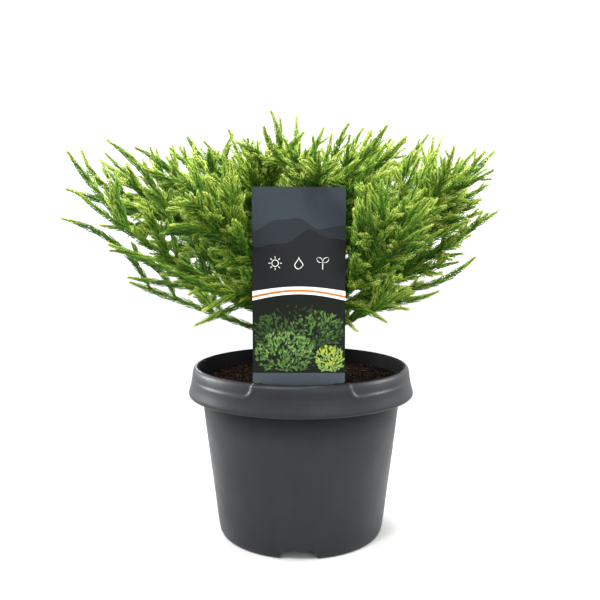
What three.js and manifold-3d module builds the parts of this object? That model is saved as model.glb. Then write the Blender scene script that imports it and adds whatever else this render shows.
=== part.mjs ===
// A dwarf Japanese cedar in a round nursery pot, in millimetres, +Z up.
// The origin is the middle of the pot's flat underside, and the plant label stands at the front, towards -Y.
import * as THREE from "three";
import { mergeVertices } from "three/addons/utils/BufferGeometryUtils.js";
import Module from "manifold-3d";

const wasm = await Module();
wasm.setup();

// Driving dimensions
const gap = 0.3; // clearance between neighbouring solids
const shortestEdge = 0.01; // shorter edges are closed up after a union or a cut

const potHeight = 172; // underside to crest
const crestRadius = 106.6; // middle of the crest's flat top
const collarRadius = 115; // over the flared lower edge of the collar
const collarDrop = 27.4; // crest to the collar's lower edge
const wallTopRadius = 101.2; // outside, just under the collar
const wallFootRadius = 85; // outside, at the foot
const wallThickness = 2.2;
const stepHeight = 141; // the wall steps out here for stacking
const throatHeight = 144; // the inside opens towards the crest from here
const throatRadius = 99.6;
const floorThickness = 3;
const channelHeight = 8; // the ring channel under the floor
const channelInner = 62;
const channelOuter = 80;
const potSides = 36;
const panelHalfAngle = 27; // the bulged panel at the front of the collar, in degrees
const panelBulge = 1.3;
const drainWidth = 30;
const drainHeight = 7.5;
const drainCount = 4;
const crestNotchAngle = 103; // from the front, in degrees
const crestNotchWidth = 5;
const crestNotchDepth = 2;

const soilTop = 159;
const soilEdgeDrop = 2.5;

const labelWidth = 82.7;
const labelHeight = 175;
const labelThickness = 0.8;
const labelDistance = 98; // from the pot's axis to the middle of the card
const labelCorner = 2;
const labelOffset = -2; // the card's middle, across the front
const labelStemWidth = 12;
const labelStemLength = 46;
const labelStemLean = 0.11; // run of the stem towards the axis for each millimetre down

const trunkHeight = 132;
const trunkRadius = 8.5;
const trunkTipRadius = 2.6;
const trunkFlare = 5; // added to the radius at soil level
const trunkLean = new THREE.Vector3(-7, 5, 0); // from the foot to the tip
const trunkSides = 8;

const hub = new THREE.Vector3(-2, 1, potHeight + 38); // the boughs spread from about here
const crownRadius = 220; // furthest reach of the foliage to the side of the hub
const crownRise = 201; // reach straight up from the hub
const crownSquareness = 6; // how far the crown fills its upper corner
const frontAzimuth = -86; // the boughs part about this direction to leave room for the label
const crownShift = new THREE.Vector3(-22, 0, 0); // the crown's wings lean this way, and its top doesn't
const crownTilt = 0.03; // how much taller the crown is at its full reach towards +X
const crownDip = 0.2; // how much lower it is at its full reach to the front and the back
const lowestLift = 0; // degrees above level, where the crown's underside ends
const fullLift = 29; // degrees above level, from which the reach is full

// The three tiers of boughs, each with its mass of foliage. Lifts are in degrees above level.
const tiers = [
  { name: "low", count: 8, frontGap: 44, lift: 23, leave: 32, leaveStep: 7, levels: 3, bare: 44, sag: 0 },
  { name: "mid", count: 10, frontGap: 31, lift: 39, leave: 58, leaveStep: 4, levels: 5, bare: 38, sag: 15 },
  { name: "upper", count: 6, frontGap: 0, lift: 62, leave: 86, leaveStep: 11, levels: 3, bare: 30, sag: 8 },
];
const liftStep = 8; // between neighbouring boughs of a tier

const boughRadius = 3.4;
const boughTipRadius = 2.2;
const boughSides = 4;

// Leafy shoots: a step from one whorl of three needles to the next, how far a needle stands out, and how
// far its point lies ahead of its root. The needles are larger than life, and on a stem each is a sprig.
const stemShoot = { rootRadius: 2.2, step: 12.5, reach: 13.5, lean: 19, bareShare: 0.08 };
const sideShoot = { rootRadius: 1.9, step: 16, reach: 8.5, lean: 16, bareShare: 0.05 };
const shootTipRadius = 1;

// Side shoots end on shells inside the crown's outline, spread evenly round each
const shells = [
  { seed: 11, count: 150, nearest: 0.88, furthest: 1 },
  { seed: 12, count: 90, nearest: 0.58, furthest: 0.78 },
];
const shootStray = 5; // degrees either way from an even spread
const shootSetback = 1.15; // how far back on its stem a side shoot starts, for each millimetre to its side
const shortestShoot = 26;
const shootRoom = 11; // between the outer parts of two side shoots

const up = new THREE.Vector3(0, 0, 1);
const toRadians = THREE.MathUtils.degToRad;

// A geometry as a solid: shared corners merged, collapsed faces dropped.
function solidFrom(geometry) {
  const bare = geometry.index ? geometry.toNonIndexed() : geometry.clone();
  bare.deleteAttribute("normal");
  bare.deleteAttribute("uv");
  const merged = mergeVertices(bare, 1e-3);
  const index = merged.index.array;
  const kept = [];
  for (let i = 0; i < index.length; i += 3) {
    const [a, b, c] = [index[i], index[i + 1], index[i + 2]];
    if (a !== b && b !== c && c !== a) kept.push(a, b, c);
  }
  return new wasm.Manifold(
    new wasm.Mesh({
      numProp: 3,
      vertProperties: merged.attributes.position.array,
      triVerts: new Uint32Array(kept),
    }),
  );
}

// A solid as a geometry that a mesh can show.
function geometryFrom(solid) {
  const mesh = solid.getMesh();
  const count = mesh.vertProperties.length / mesh.numProp;
  const positions = new Float32Array(count * 3);
  for (let i = 0; i < count; i++) {
    positions.set(mesh.vertProperties.subarray(i * mesh.numProp, i * mesh.numProp + 3), i * 3);
  }
  const geometry = new THREE.BufferGeometry();
  geometry.setAttribute("position", new THREE.BufferAttribute(positions, 3));
  geometry.setIndex(new THREE.BufferAttribute(mesh.triVerts, 1));
  return geometry;
}

function geometryOfTriangles(triangles) {
  const geometry = new THREE.BufferGeometry();
  const numbers = triangles.flatMap((corner) => corner.toArray());
  geometry.setAttribute("position", new THREE.Float32BufferAttribute(numbers, 3));
  return geometry;
}

function boxAt(width, depth, height, x, y, z) {
  return new THREE.BoxGeometry(width, depth, height).translate(x, y, z);
}

// A profile of radius and height turned round the Z axis.
function turned(profile, sides) {
  const points = profile.map(([radius, height]) => new THREE.Vector2(radius, height));
  return new THREE.LatheGeometry(points, sides).rotateX(Math.PI / 2);
}

// Pot
function wallRadiusAt(height) {
  return wallFootRadius + ((wallTopRadius - wallFootRadius) * height) / stepHeight;
}

function potProfile() {
  const crestHalf = wallThickness / 2;
  const channelTop = channelHeight + floorThickness;
  const lipHeight = potHeight - collarDrop;
  return [
    [0, 0],
    [channelInner, 0],
    [channelInner + 3, channelHeight],
    [channelOuter, channelHeight],
    [channelOuter, 0],
    [wallFootRadius - 1, 0],
    [wallRadiusAt(7), 7],
    [wallTopRadius, stepHeight],
    [crestRadius, potHeight - 6],
    [collarRadius - 7, potHeight - 8],
    [collarRadius - 2.2, lipHeight - 1.4],
    [collarRadius - 0.6, lipHeight - 1.4],
    [collarRadius, lipHeight + 0.6],
    [collarRadius - 2.2, lipHeight + 6.5],
    [collarRadius - 3.8, potHeight - 14],
    [collarRadius - 4.6, potHeight - 5.5],
    [crestRadius + crestHalf, potHeight],
    [crestRadius - crestHalf, potHeight],
    [throatRadius, throatHeight],
    [wallRadiusAt(stepHeight) - wallThickness, stepHeight],
    [wallRadiusAt(channelTop) - wallThickness, channelTop],
    [channelInner, channelTop],
    [channelInner - 4, floorThickness],
    [0, floorThickness],
  ];
}

// The collar's outside swells into a smooth panel at the front.
function swellPanel(geometry) {
  const position = geometry.attributes.position;
  const shoulder = 360 / potSides;
  for (let i = 0; i < position.count; i++) {
    const [x, y, z] = [position.getX(i), position.getY(i), position.getZ(i)];
    const radius = Math.hypot(x, y);
    if (z < potHeight - collarDrop - 2 || radius < collarRadius - 5) continue;
    const fromFront = Math.abs(THREE.MathUtils.radToDeg(Math.atan2(x, -y)));
    const share = THREE.MathUtils.clamp((panelHalfAngle - fromFront) / shoulder + 0.5, 0, 1);
    const grown = (radius + panelBulge * share) / radius;
    position.setXY(i, x * grown, y * grown);
  }
  return geometry;
}

function makePot() {
  let pot = solidFrom(swellPanel(turned(potProfile(), potSides)));
  for (let i = 0; i < drainCount; i++) {
    const turn = (i * 2 * Math.PI) / drainCount;
    const reach = (channelOuter + wallFootRadius) / 2;
    const mouth = boxAt(drainWidth, 14, drainHeight * 2, 0, -reach, 0).rotateZ(turn);
    const hole = boxAt(drainWidth / 2, 9, 12, 0, 6 - channelOuter, channelHeight + 1).rotateZ(turn);
    pot = pot.subtract(solidFrom(mouth)).subtract(solidFrom(hole));
  }
  for (const side of [-1, 1]) {
    const notch = boxAt(crestNotchWidth, 12, crestNotchDepth * 2, 0, -crestRadius, potHeight);
    pot = pot.subtract(solidFrom(notch.rotateZ(toRadians(side * crestNotchAngle))));
  }
  return pot;
}

// Label: a card that stands on the front of the crest, on a stem pushed into the soil.
function roundedRectangle(width, height, corner) {
  const [x, r] = [width / 2, corner];
  const shape = new THREE.Shape();
  shape.moveTo(r - x, 0);
  shape.lineTo(x - r, 0);
  shape.absarc(x - r, r, r, -Math.PI / 2, 0);
  shape.lineTo(x, height - r);
  shape.absarc(x - r, height - r, r, 0, Math.PI / 2);
  shape.lineTo(r - x, height);
  shape.absarc(r - x, height - r, r, Math.PI / 2, Math.PI);
  shape.lineTo(-x, r);
  shape.absarc(r - x, r, r, Math.PI, 1.5 * Math.PI);
  return shape;
}

function labelStem(margin) {
  const half = labelThickness / 2 + margin;
  const length = labelStemLength + margin;
  const root = 8; // how far the stem runs up behind the card's lower edge
  const shape = new THREE.Shape();
  shape.moveTo(-half, root);
  shape.lineTo(-half, 0);
  shape.lineTo(-half + length * labelStemLean, -length);
  shape.lineTo(half + length * labelStemLean, -length);
  shape.lineTo(half, 0);
  shape.lineTo(half, root);
  const width = labelStemWidth + 2 * margin;
  const strip = new THREE.ExtrudeGeometry(shape, { depth: width, bevelEnabled: false });
  // The shape's own X and Y become depth and height, and its thickness runs along X.
  strip.translate(0, 0, -width / 2).rotateX(Math.PI / 2).rotateZ(Math.PI / 2);
  return strip.translate(labelOffset, -labelDistance, potHeight + gap);
}

function makeLabel() {
  const outline = roundedRectangle(labelWidth, labelHeight, labelCorner);
  const options = { depth: labelThickness, bevelEnabled: false, curveSegments: 3 };
  const card = new THREE.ExtrudeGeometry(outline, options).rotateX(Math.PI / 2);
  card.translate(labelOffset, labelThickness / 2 - labelDistance, potHeight + gap);
  return solidFrom(card).add(solidFrom(labelStem(0)));
}

// Soil: fills the pot to a little under its crest.
function makeSoil() {
  const channelTop = channelHeight + floorThickness + gap;
  const inner = (height) => wallRadiusAt(height) - wallThickness - 1.5 * gap;
  const throat = throatRadius - 1.5 * gap;
  const rimHeight = soilTop - soilEdgeDrop;
  const slope = (crestRadius - wallThickness / 2 - throatRadius) / (potHeight - throatHeight);
  const rim = throat + slope * (rimHeight - throatHeight);
  const soil = solidFrom(
    turned(
      [
        [0, floorThickness + gap],
        [channelInner - 4 - gap, floorThickness + gap],
        [channelInner - gap, channelTop],
        [inner(channelTop), channelTop],
        [inner(stepHeight), stepHeight],
        [throat, throatHeight],
        [rim, rimHeight],
        [rim * 0.86, soilTop - 0.6],
        [trunkRadius * 3, soilTop],
        [0, soilTop],
      ],
      potSides,
    ),
  );
  return soil.subtract(solidFrom(labelStem(gap)));
}

// Seeded draws, so that the plant grows the same way each time.
function makeDice(seed) {
  let state = seed;
  return (low, high) => {
    state = (state * 48271) % 2147483647;
    return low + ((high - low) * state) / 2147483647;
  };
}

// A limb's centre line, from 0 at its root to 1 at its tip: a straight run, and a bend that grows outwards.
class Limb {
  constructor(start, run, bend) {
    this.start = start;
    this.run = run;
    this.bend = bend;
  }
  at(share) {
    const straight = this.start.clone().addScaledVector(this.run, share);
    return straight.addScaledVector(this.bend, share * share);
  }
  heading(share) {
    return this.run.clone().addScaledVector(this.bend, 2 * share).normalize();
  }
  get length() {
    return this.run.clone().addScaledVector(this.bend, 0.5).length();
  }
  // The share of its length that lies nearest a point, and how far from the point that is.
  nearestTo(point) {
    const steps = 16;
    let best = { share: 0, distance: Infinity };
    for (let i = 0; i < steps; i++) {
      const piece = new THREE.Line3(this.at(i / steps), this.at((i + 1) / steps));
      const along = piece.closestPointToPointParameter(point, true);
      const distance = piece.at(along, new THREE.Vector3()).distanceTo(point);
      if (distance < best.distance) best = { share: (i + along) / steps, distance };
    }
    return best;
  }
  distanceTo(point) {
    return this.nearestTo(point).distance;
  }
}

// Two directions square to a heading.
function squareTo(heading) {
  const helper = Math.abs(heading.z) > 0.97 ? new THREE.Vector3(0, 1, 0) : up;
  const side = new THREE.Vector3().crossVectors(heading, helper).normalize();
  return [side, new THREE.Vector3().crossVectors(side, heading)];
}

// A tube round a limb, with flat ends, from one share of its length to another.
function tubeTriangles(limb, from, to, radiusAt, sides, steps) {
  const rings = [];
  let [side] = squareTo(limb.heading(from));
  for (let j = 0; j <= steps; j++) {
    const share = from + ((to - from) * j) / steps;
    const heading = limb.heading(share);
    side = side.addScaledVector(heading, -side.dot(heading)).normalize();
    const other = new THREE.Vector3().crossVectors(heading, side);
    const ring = [];
    for (let i = 0; i < sides; i++) {
      const angle = (2 * Math.PI * i) / sides;
      const radius = radiusAt(share, angle);
      const corner = limb.at(share).addScaledVector(side, radius * Math.cos(angle));
      ring.push(corner.addScaledVector(other, radius * Math.sin(angle)));
    }
    rings.push(ring);
  }
  const triangles = [];
  const [first, last] = [rings[0], rings[steps]];
  for (let i = 0; i < sides; i++) {
    const next = (i + 1) % sides;
    for (let j = 0; j < steps; j++) {
      const [low, high] = [rings[j], rings[j + 1]];
      triangles.push(low[i], low[next], high[next], low[i], high[next], high[i]);
    }
    if (i > 0 && next > 0) {
      triangles.push(first[0], first[next], first[i], last[0], last[i], last[next]);
    }
  }
  return triangles;
}

// Trunk: leans a little, tapers all the way, and flares into its roots at soil level.
const trunkLine = new Limb(
  new THREE.Vector3(0, 0, soilTop + gap),
  new THREE.Vector3(0, 0, trunkHeight),
  trunkLean,
);

function trunkRadiusAt(share, angle = 0) {
  const flare = Math.exp(-share * 14);
  const lobes = 1 + 0.35 * Math.cos(3 * angle);
  return THREE.MathUtils.lerp(trunkRadius, trunkTipRadius, share) + trunkFlare * flare * lobes;
}

function makeTrunk(margin) {
  const grown = (share, angle) => trunkRadiusAt(share, angle) + margin;
  const cut = solidFrom(geometryOfTriangles(tubeTriangles(trunkLine, 0, 1, grown, trunkSides, 11)));
  // The foot is cut flat at soil level, whatever the lean.
  const below = boxAt(80, 80, 40, 0, 0, soilTop + gap - 20);
  return cut.subtract(solidFrom(below));
}

// How far the crown reaches from its hub at a lift in degrees above level.
function crownReach(lift) {
  const angle = toRadians(lift);
  const across = (Math.cos(angle) / crownRadius) ** crownSquareness;
  const above = Math.abs(Math.sin(angle) / crownRise) ** crownSquareness;
  const fade = THREE.MathUtils.smoothstep(lift, lowestLift, fullLift);
  return (across + above) ** (-1 / crownSquareness) * THREE.MathUtils.lerp(0.25, 1, fade);
}

function liftOf(offset) {
  return THREE.MathUtils.radToDeg(Math.atan2(offset.z, Math.hypot(offset.x, offset.y)));
}

// How tall the crown stands over a place beside the hub, against its height over the hub itself.
function crownTallness({ x, y }) {
  return 1 + (crownTilt * x) / crownRadius - crownDip * (y / crownRadius) ** 2;
}

// The share of the crown's reach at which a point lies: 1 is on its outline.
function crownShareOf(point) {
  const offset = point.clone().sub(hub);
  const lean = (offset.length() - offset.z) / crownRadius;
  offset.addScaledVector(crownShift, -lean);
  offset.z /= crownTallness(offset);
  return offset.length() / crownReach(liftOf(offset));
}

function crownPoint(azimuth, lift, share) {
  const level = Math.cos(toRadians(lift));
  const way = new THREE.Vector3(
    level * Math.cos(toRadians(azimuth)),
    level * Math.sin(toRadians(azimuth)),
    Math.sin(toRadians(lift)),
  );
  const reach = crownReach(lift) * share;
  const offset = way.clone().multiplyScalar(reach);
  offset.z *= crownTallness(offset);
  return offset.add(hub).addScaledVector(crownShift, (reach * (1 - way.z)) / crownRadius);
}

// Stems: each runs from the trunk to the crown's outline, bare at first and then leafy.
function planStems() {
  const dice = makeDice(2024);
  const stems = [];
  for (const tier of tiers) {
    const span = tier.frontGap ? 360 - 2 * tier.frontGap : 360;
    const pitch = tier.frontGap ? span / (tier.count - 1) : span / tier.count;
    for (let i = 0; i < tier.count; i++) {
      const azimuth = frontAzimuth + tier.frontGap + i * pitch + dice(-4, 4);
      const lift = tier.lift + liftStep * ((i % 2) - 0.5) + dice(-2, 2);
      const tip = crownPoint(azimuth, lift, dice(0.94, 1));
      const share = (tier.leave + tier.leaveStep * ((2 * i) % tier.levels)) / trunkHeight;
      const start = trunkLine.at(share);
      const bow = new THREE.Vector3(-Math.sin(toRadians(azimuth)), Math.cos(toRadians(azimuth)), 0);
      const bend = up.clone().multiplyScalar(tier.sag * 4).addScaledVector(bow, dice(-40, 40));
      const run = tip.sub(start).sub(bend);
      const line = new Limb(start, run, bend);
      const bareShare = tier.bare / line.length;
      stems.push({ name: tier.name, number: i + 1, line, bareShare, shoots: [] });
    }
  }
  const start = trunkLine.at(1);
  const run = crownPoint(96, 84, 1.08).sub(start);
  const line = new Limb(start, run, new THREE.Vector3());
  stems.push({ name: "top", number: 0, line, bareShare: 0, shoots: [] });
  return stems;
}

const stems = planStems();

// Each mass keeps to its own space: nearer to its own stem than to any other, clear of the trunk and the
// label, and inside the crown's outline.
function inOwnSpace(point, own, reach) {
  const mine = own.line.distanceTo(point);
  const shared = stems.some(
    (other) => other !== own && other.line.distanceTo(point) - mine < 2 * reach + gap,
  );
  if (shared || crownShareOf(point) > 1.02) return false;
  if (trunkLine.distanceTo(point) < trunkRadius + reach) return false;
  const besideLabel = Math.abs(point.x - labelOffset) < labelWidth / 2 + reach;
  const beforeLabel = point.y < 6 + reach - labelDistance;
  const underLabelTop = point.z < potHeight + labelHeight + reach;
  return !(besideLabel && beforeLabel && underLabelTop) && point.z > potHeight + 24;
}

// A leafy shoot: a slim three-sided core, each ring turned a sixth against the last, and between two rings
// three needles that lean out and forward.
function shootTriangles(limb, leaf) {
  const steps = Math.max(3, Math.round(limb.length / leaf.step));
  const radiusAt = (share) => THREE.MathUtils.lerp(leaf.rootRadius, shootTipRadius, share);
  const rings = [];
  let [side] = squareTo(limb.heading(0));
  for (let j = 0; j < steps; j++) {
    const share = j / steps;
    const heading = limb.heading(share);
    side = side.clone().addScaledVector(heading, -side.dot(heading)).normalize();
    const other = new THREE.Vector3().crossVectors(heading, side);
    const spoke = (i) => {
      const angle = toRadians(120 * i + 60 * j);
      return side.clone().multiplyScalar(Math.cos(angle)).addScaledVector(other, Math.sin(angle));
    };
    const corners = [0, 1, 2].map((i) => limb.at(share).addScaledVector(spoke(i), radiusAt(share)));
    const reach = leaf.reach * (1 - 0.4 * share);
    const points = [0.5, 1.5, 2.5].map((i) => {
      const root = limb.at(share + 0.5 / steps).addScaledVector(spoke(i), reach);
      return root.addScaledVector(heading, leaf.lean * (1 - 0.3 * share));
    });
    rings.push({ corners, points, leafy: share >= leaf.bareShare });
  }
  const triangles = [rings[0].corners[0], rings[0].corners[2], rings[0].corners[1]];
  for (let j = 0; j < steps - 1; j++) {
    const { corners: low, points, leafy } = rings[j];
    const high = rings[j + 1].corners;
    for (let i = 0; i < 3; i++) {
      const [a, b, c, point] = [low[i], low[(i + 1) % 3], high[i], points[i]];
      if (leafy) triangles.push(a, b, point, b, c, point, c, a, point);
      else triangles.push(a, b, c);
      triangles.push(b, high[(i + 1) % 3], c);
    }
  }
  const last = rings[steps - 1].corners;
  for (let i = 0; i < 3; i++) triangles.push(last[i], last[(i + 1) % 3], limb.at(1));
  return triangles;
}

// A side shoot leaves its stem well behind the point that it ends at, and turns outwards and up to it.
function shootTo(end, stem, near) {
  const back = (near.distance * shootSetback) / stem.line.length;
  const share = Math.max(stem.bareShare + 0.04, near.share - back);
  const start = stem.line.at(share);
  const reach = end.distanceTo(start);
  const bend = stem.line.heading(share).multiplyScalar(0.2 * reach).addScaledVector(up, 0.1 * reach);
  return new Limb(start, end.clone().sub(start).sub(bend), bend);
}

// The side shoots of all the stems. Each belongs to the stem nearest its end. One that would leave its
// mass's own space or crowd its sisters is drawn in towards its stem, and then skipped.
function planShoots() {
  for (const shell of shells) {
    const dice = makeDice(shell.seed);
    for (let k = 0; k < shell.count; k++) {
      const rise = (k + 0.5) / shell.count;
      const lift = THREE.MathUtils.radToDeg(Math.asin(rise)) + dice(-shootStray, shootStray);
      const azimuth = 137.508 * k + dice(-shootStray, shootStray);
      const wanted = crownPoint(azimuth, lift, dice(shell.nearest, shell.furthest));
      const distances = stems.map((stem) => stem.line.distanceTo(wanted));
      const stem = stems[distances.indexOf(Math.min(...distances))];
      const near = stem.line.nearestTo(wanted);
      for (const drawnIn of [0, 0.14, 0.28, 0.42]) {
        const end = wanted.clone().lerp(stem.line.at(near.share), drawnIn);
        const shoot = shootTo(end, stem, near);
        const outer = [0.4, 0.6, 0.8, 1].map((share) => shoot.at(share));
        const roomy = outer.slice(1).every((point) =>
          stem.shoots.every((sister) => sister.distanceTo(point) > shootRoom),
        );
        const kept = outer.every((point) => inOwnSpace(point, stem, sideShoot.reach * 0.8));
        if (shoot.length < shortestShoot || !roomy || !kept) continue;
        stem.shoots.push(shoot);
        break;
      }
    }
  }
}

function makeMass(stem) {
  const { line, bareShare } = stem;
  const root = line.at(bareShare).addScaledVector(line.heading(bareShare), gap);
  const left = 1 - bareShare;
  const run = line.run.clone().addScaledVector(line.bend, 2 * bareShare).multiplyScalar(left);
  const leader = new Limb(root, run, line.bend.clone().multiplyScalar(left * left));
  const pieces = [solidFrom(geometryOfTriangles(shootTriangles(leader, stemShoot)))];
  for (const shoot of stem.shoots) {
    pieces.push(solidFrom(geometryOfTriangles(shootTriangles(shoot, sideShoot))));
  }
  return wasm.Manifold.union(pieces).simplify(shortestEdge);
}

function makeBough(stem, trunkRoom) {
  const radius = (share) => THREE.MathUtils.lerp(boughRadius, boughTipRadius, share / stem.bareShare);
  const tube = tubeTriangles(stem.line, 0, stem.bareShare, radius, boughSides, 3);
  return solidFrom(geometryOfTriangles(tube)).subtract(trunkRoom).simplify(shortestEdge);
}

// The finished plant
const materials = {
  pot: new THREE.MeshStandardMaterial({ color: 0x45474a, roughness: 0.55, metalness: 0 }),
  soil: new THREE.MeshStandardMaterial({ color: 0x2a1a14, roughness: 1, metalness: 0 }),
  label: new THREE.MeshStandardMaterial({ color: 0x3a3d44, roughness: 0.4, metalness: 0 }),
  bark: new THREE.MeshStandardMaterial({ color: 0x6b4a32, roughness: 0.9, metalness: 0 }),
  foliage: new THREE.MeshStandardMaterial({ color: 0x5c8f2a, roughness: 0.6, metalness: 0 }),
};

const plant = new THREE.Group();
plant.name = "potted_dwarf_japanese_cedar";

function addPart(name, solid, material) {
  const mesh = new THREE.Mesh(geometryFrom(solid), material);
  mesh.name = name;
  plant.add(mesh);
}

addPart("pot", makePot(), materials.pot);
addPart("soil", makeSoil(), materials.soil);
addPart("plant_label", makeLabel(), materials.label);
addPart("trunk", makeTrunk(0), materials.bark);
const trunkRoom = makeTrunk(gap);
planShoots();
for (const stem of stems) {
  const number = stem.number ? "_" + stem.number : "";
  if (stem.bareShare) addPart(stem.name + "_bough" + number, makeBough(stem, trunkRoom), materials.bark);
  addPart(stem.name + "_foliage" + number, makeMass(stem), materials.foliage);
}

export default plant;
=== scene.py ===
# A dwarf Japanese cedar in a round nursery pot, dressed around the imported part
# Metres, +Z up, the plant label stands at the front towards -Y
import math

import bmesh
import bpy
import numpy as np
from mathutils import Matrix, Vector, noise


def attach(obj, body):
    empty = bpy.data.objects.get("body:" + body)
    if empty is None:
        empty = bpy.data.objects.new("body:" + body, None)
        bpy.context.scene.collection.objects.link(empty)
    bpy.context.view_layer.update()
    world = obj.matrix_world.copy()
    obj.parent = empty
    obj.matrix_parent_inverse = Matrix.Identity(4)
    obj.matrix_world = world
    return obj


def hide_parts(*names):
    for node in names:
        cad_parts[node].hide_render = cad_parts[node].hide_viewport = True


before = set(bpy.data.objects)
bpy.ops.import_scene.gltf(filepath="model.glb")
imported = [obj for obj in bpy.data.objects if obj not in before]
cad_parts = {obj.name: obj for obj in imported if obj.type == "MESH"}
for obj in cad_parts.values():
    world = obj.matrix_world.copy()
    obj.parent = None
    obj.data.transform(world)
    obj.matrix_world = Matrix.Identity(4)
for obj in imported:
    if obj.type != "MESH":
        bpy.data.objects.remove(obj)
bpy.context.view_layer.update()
print("frame loaded with", len(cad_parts), "nodes")

mm = 0.001


# Working steps that the pieces share
def pickOnly(piece):
    bpy.ops.object.select_all(action="DESELECT")
    bpy.context.view_layer.objects.active = piece
    piece.select_set(True)


def applyPlace(piece):
    # its location, turn and scale become part of the mesh
    pickOnly(piece)
    bpy.ops.object.transform_apply(location=True, rotation=True, scale=True)


def openMesh(piece, kind="FACE"):
    pickOnly(piece)
    bpy.ops.object.mode_set(mode="EDIT")
    bpy.ops.mesh.select_mode(type=kind)


def closeMesh():
    bpy.ops.object.mode_set(mode="OBJECT")


def selectFaces(piece, wanted):
    # wanted gets a face's middle and normal
    bpy.ops.mesh.select_all(action="DESELECT")
    shape = bmesh.from_edit_mesh(piece.data)
    for face in shape.faces:
        face.select_set(bool(wanted(face.calc_center_median(), face.normal)))
    bmesh.update_edit_mesh(piece.data)


def selectEdges(piece, wanted):
    # wanted gets an edge's two ends
    bpy.ops.mesh.select_all(action="DESELECT")
    shape = bmesh.from_edit_mesh(piece.data)
    for edge in shape.edges:
        edge.select_set(bool(wanted(edge.verts[0].co, edge.verts[1].co)))
    bmesh.update_edit_mesh(piece.data)


def applyModifier(piece, kind, **values):
    modifier = piece.modifiers.new(kind.title(), kind)
    for name, value in values.items():
        setattr(modifier, name, value)
    pickOnly(piece)
    bpy.ops.object.modifier_apply(modifier=modifier.name)


def combine(piece, other, operation):
    applyModifier(piece, "BOOLEAN", operation=operation, object=other, solver="EXACT")
    bpy.data.objects.remove(other)


def paintGroup(piece, name, weightAt):
    # a vertex group whose weight comes from each corner's place
    group = piece.vertex_groups.new(name=name)
    for vertex in piece.data.vertices:
        weight = weightAt(vertex.co)
        if weight > 0:
            group.add([vertex.index], min(weight, 1), "REPLACE")
    return group


def displace(piece, name, weightAt, direction, depth):
    # moves the surface by this depth, in mm, where the painted weight is full
    group = paintGroup(piece, name, weightAt)
    applyModifier(
        piece, "DISPLACE", vertex_group=group.name, direction=direction, mid_level=0, strength=depth * mm
    )


def makeBlock(size, place=(0, 0, 0)):
    # a block of this size round a place, both in mm
    bpy.ops.mesh.primitive_cube_add(size=1, location=[c * mm for c in place])
    block = bpy.context.object
    block.scale = [c * mm for c in size]
    applyPlace(block)
    return block


def setRound(piece, distance, degrees, height):
    # moves a piece to this distance from the axis, turned from the front
    angle = math.radians(degrees)
    piece.location = (distance * math.sin(angle) * mm, -distance * math.cos(angle) * mm, height * mm)
    piece.rotation_euler.z = angle
    applyPlace(piece)
    return piece


def drawRings(name, rings, sides):
    # rings of a place and a radius, in mm, each drawn out of the one before; the mesh stays open for more
    (place, radius), *others = rings
    bpy.ops.mesh.primitive_circle_add(vertices=sides, radius=radius * mm, location=tuple(place * mm))
    piece = bpy.context.object
    piece.name = name
    applyPlace(piece)
    openMesh(piece, "EDGE")
    bpy.ops.mesh.select_all(action="SELECT")
    for nextPlace, nextRadius in others:
        shift = (nextPlace - place) * mm
        bpy.ops.mesh.extrude_edges_move(TRANSFORM_OT_translate={"value": tuple(shift)})
        spread = nextRadius / radius
        bpy.ops.transform.resize(value=(spread, spread, 1), center_override=tuple(nextPlace * mm))
        place, radius = nextPlace, nextRadius
    return piece


def drawToPoint(lift=0.0):
    # the selected ring runs to a point in its middle
    bpy.ops.mesh.extrude_edges_move(TRANSFORM_OT_translate={"value": (0, 0, lift * mm)})
    bpy.ops.mesh.merge(type="CENTER")


def closeSolid():
    bpy.ops.mesh.select_all(action="SELECT")
    bpy.ops.mesh.remove_doubles(threshold=0.001 * mm)
    bpy.ops.mesh.normals_make_consistent(inside=False)
    closeMesh()


def turnSolid(name, profile, sides):
    # a profile of radius and height, turned round the axis and closed at both ends
    rings = [(np.array([0, 0, height]), radius) for radius, height in profile]
    piece = drawRings(name, rings, sides)
    near = 0.01 * mm
    for radius, height in (profile[-1], profile[0]):

        def onRing(corner):
            beside = abs(math.hypot(corner.x, corner.y) - radius * mm)
            return beside < near and abs(corner.z - height * mm) < near

        selectEdges(piece, lambda a, b: onRing(a) and onRing(b))
        drawToPoint()
    closeSolid()
    return piece


def finishPiece(piece, replaced=(), smoothAngle=None):
    applyPlace(piece)
    if smoothAngle:
        bpy.ops.object.shade_smooth_by_angle(angle=math.radians(smoothAngle))
    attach(piece, "root")
    if replaced:
        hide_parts(*replaced)
    triangles = sum(len(face.vertices) - 2 for face in piece.data.polygons)
    print(f"  {piece.name}: {triangles} triangles")


def smoothStep(value, low, high):
    share = np.clip((value - low) / (high - low), 0, 1)
    return share * share * (3 - 2 * share)


def lerp(low, high, share):
    return low + (high - low) * share


# Material helpers
def hexColor(text):
    # a screen colour as linear red, green and blue
    shares = [int(text[i:i + 2], 16) / 255 for i in (1, 3, 5)]
    return tuple(s / 12.92 if s <= 0.04045 else ((s + 0.055) / 1.055) ** 2.4 for s in shares)


def newMaterial(name, color, roughness, specular):
    material = bpy.data.materials.new(name)
    material.use_nodes = True
    shader = material.node_tree.nodes["Principled BSDF"]
    shader.inputs["Base Color"].default_value = (*hexColor(color), 1)
    shader.inputs["Roughness"].default_value = roughness
    shader.inputs["Specular IOR Level"].default_value = specular
    return material


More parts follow.
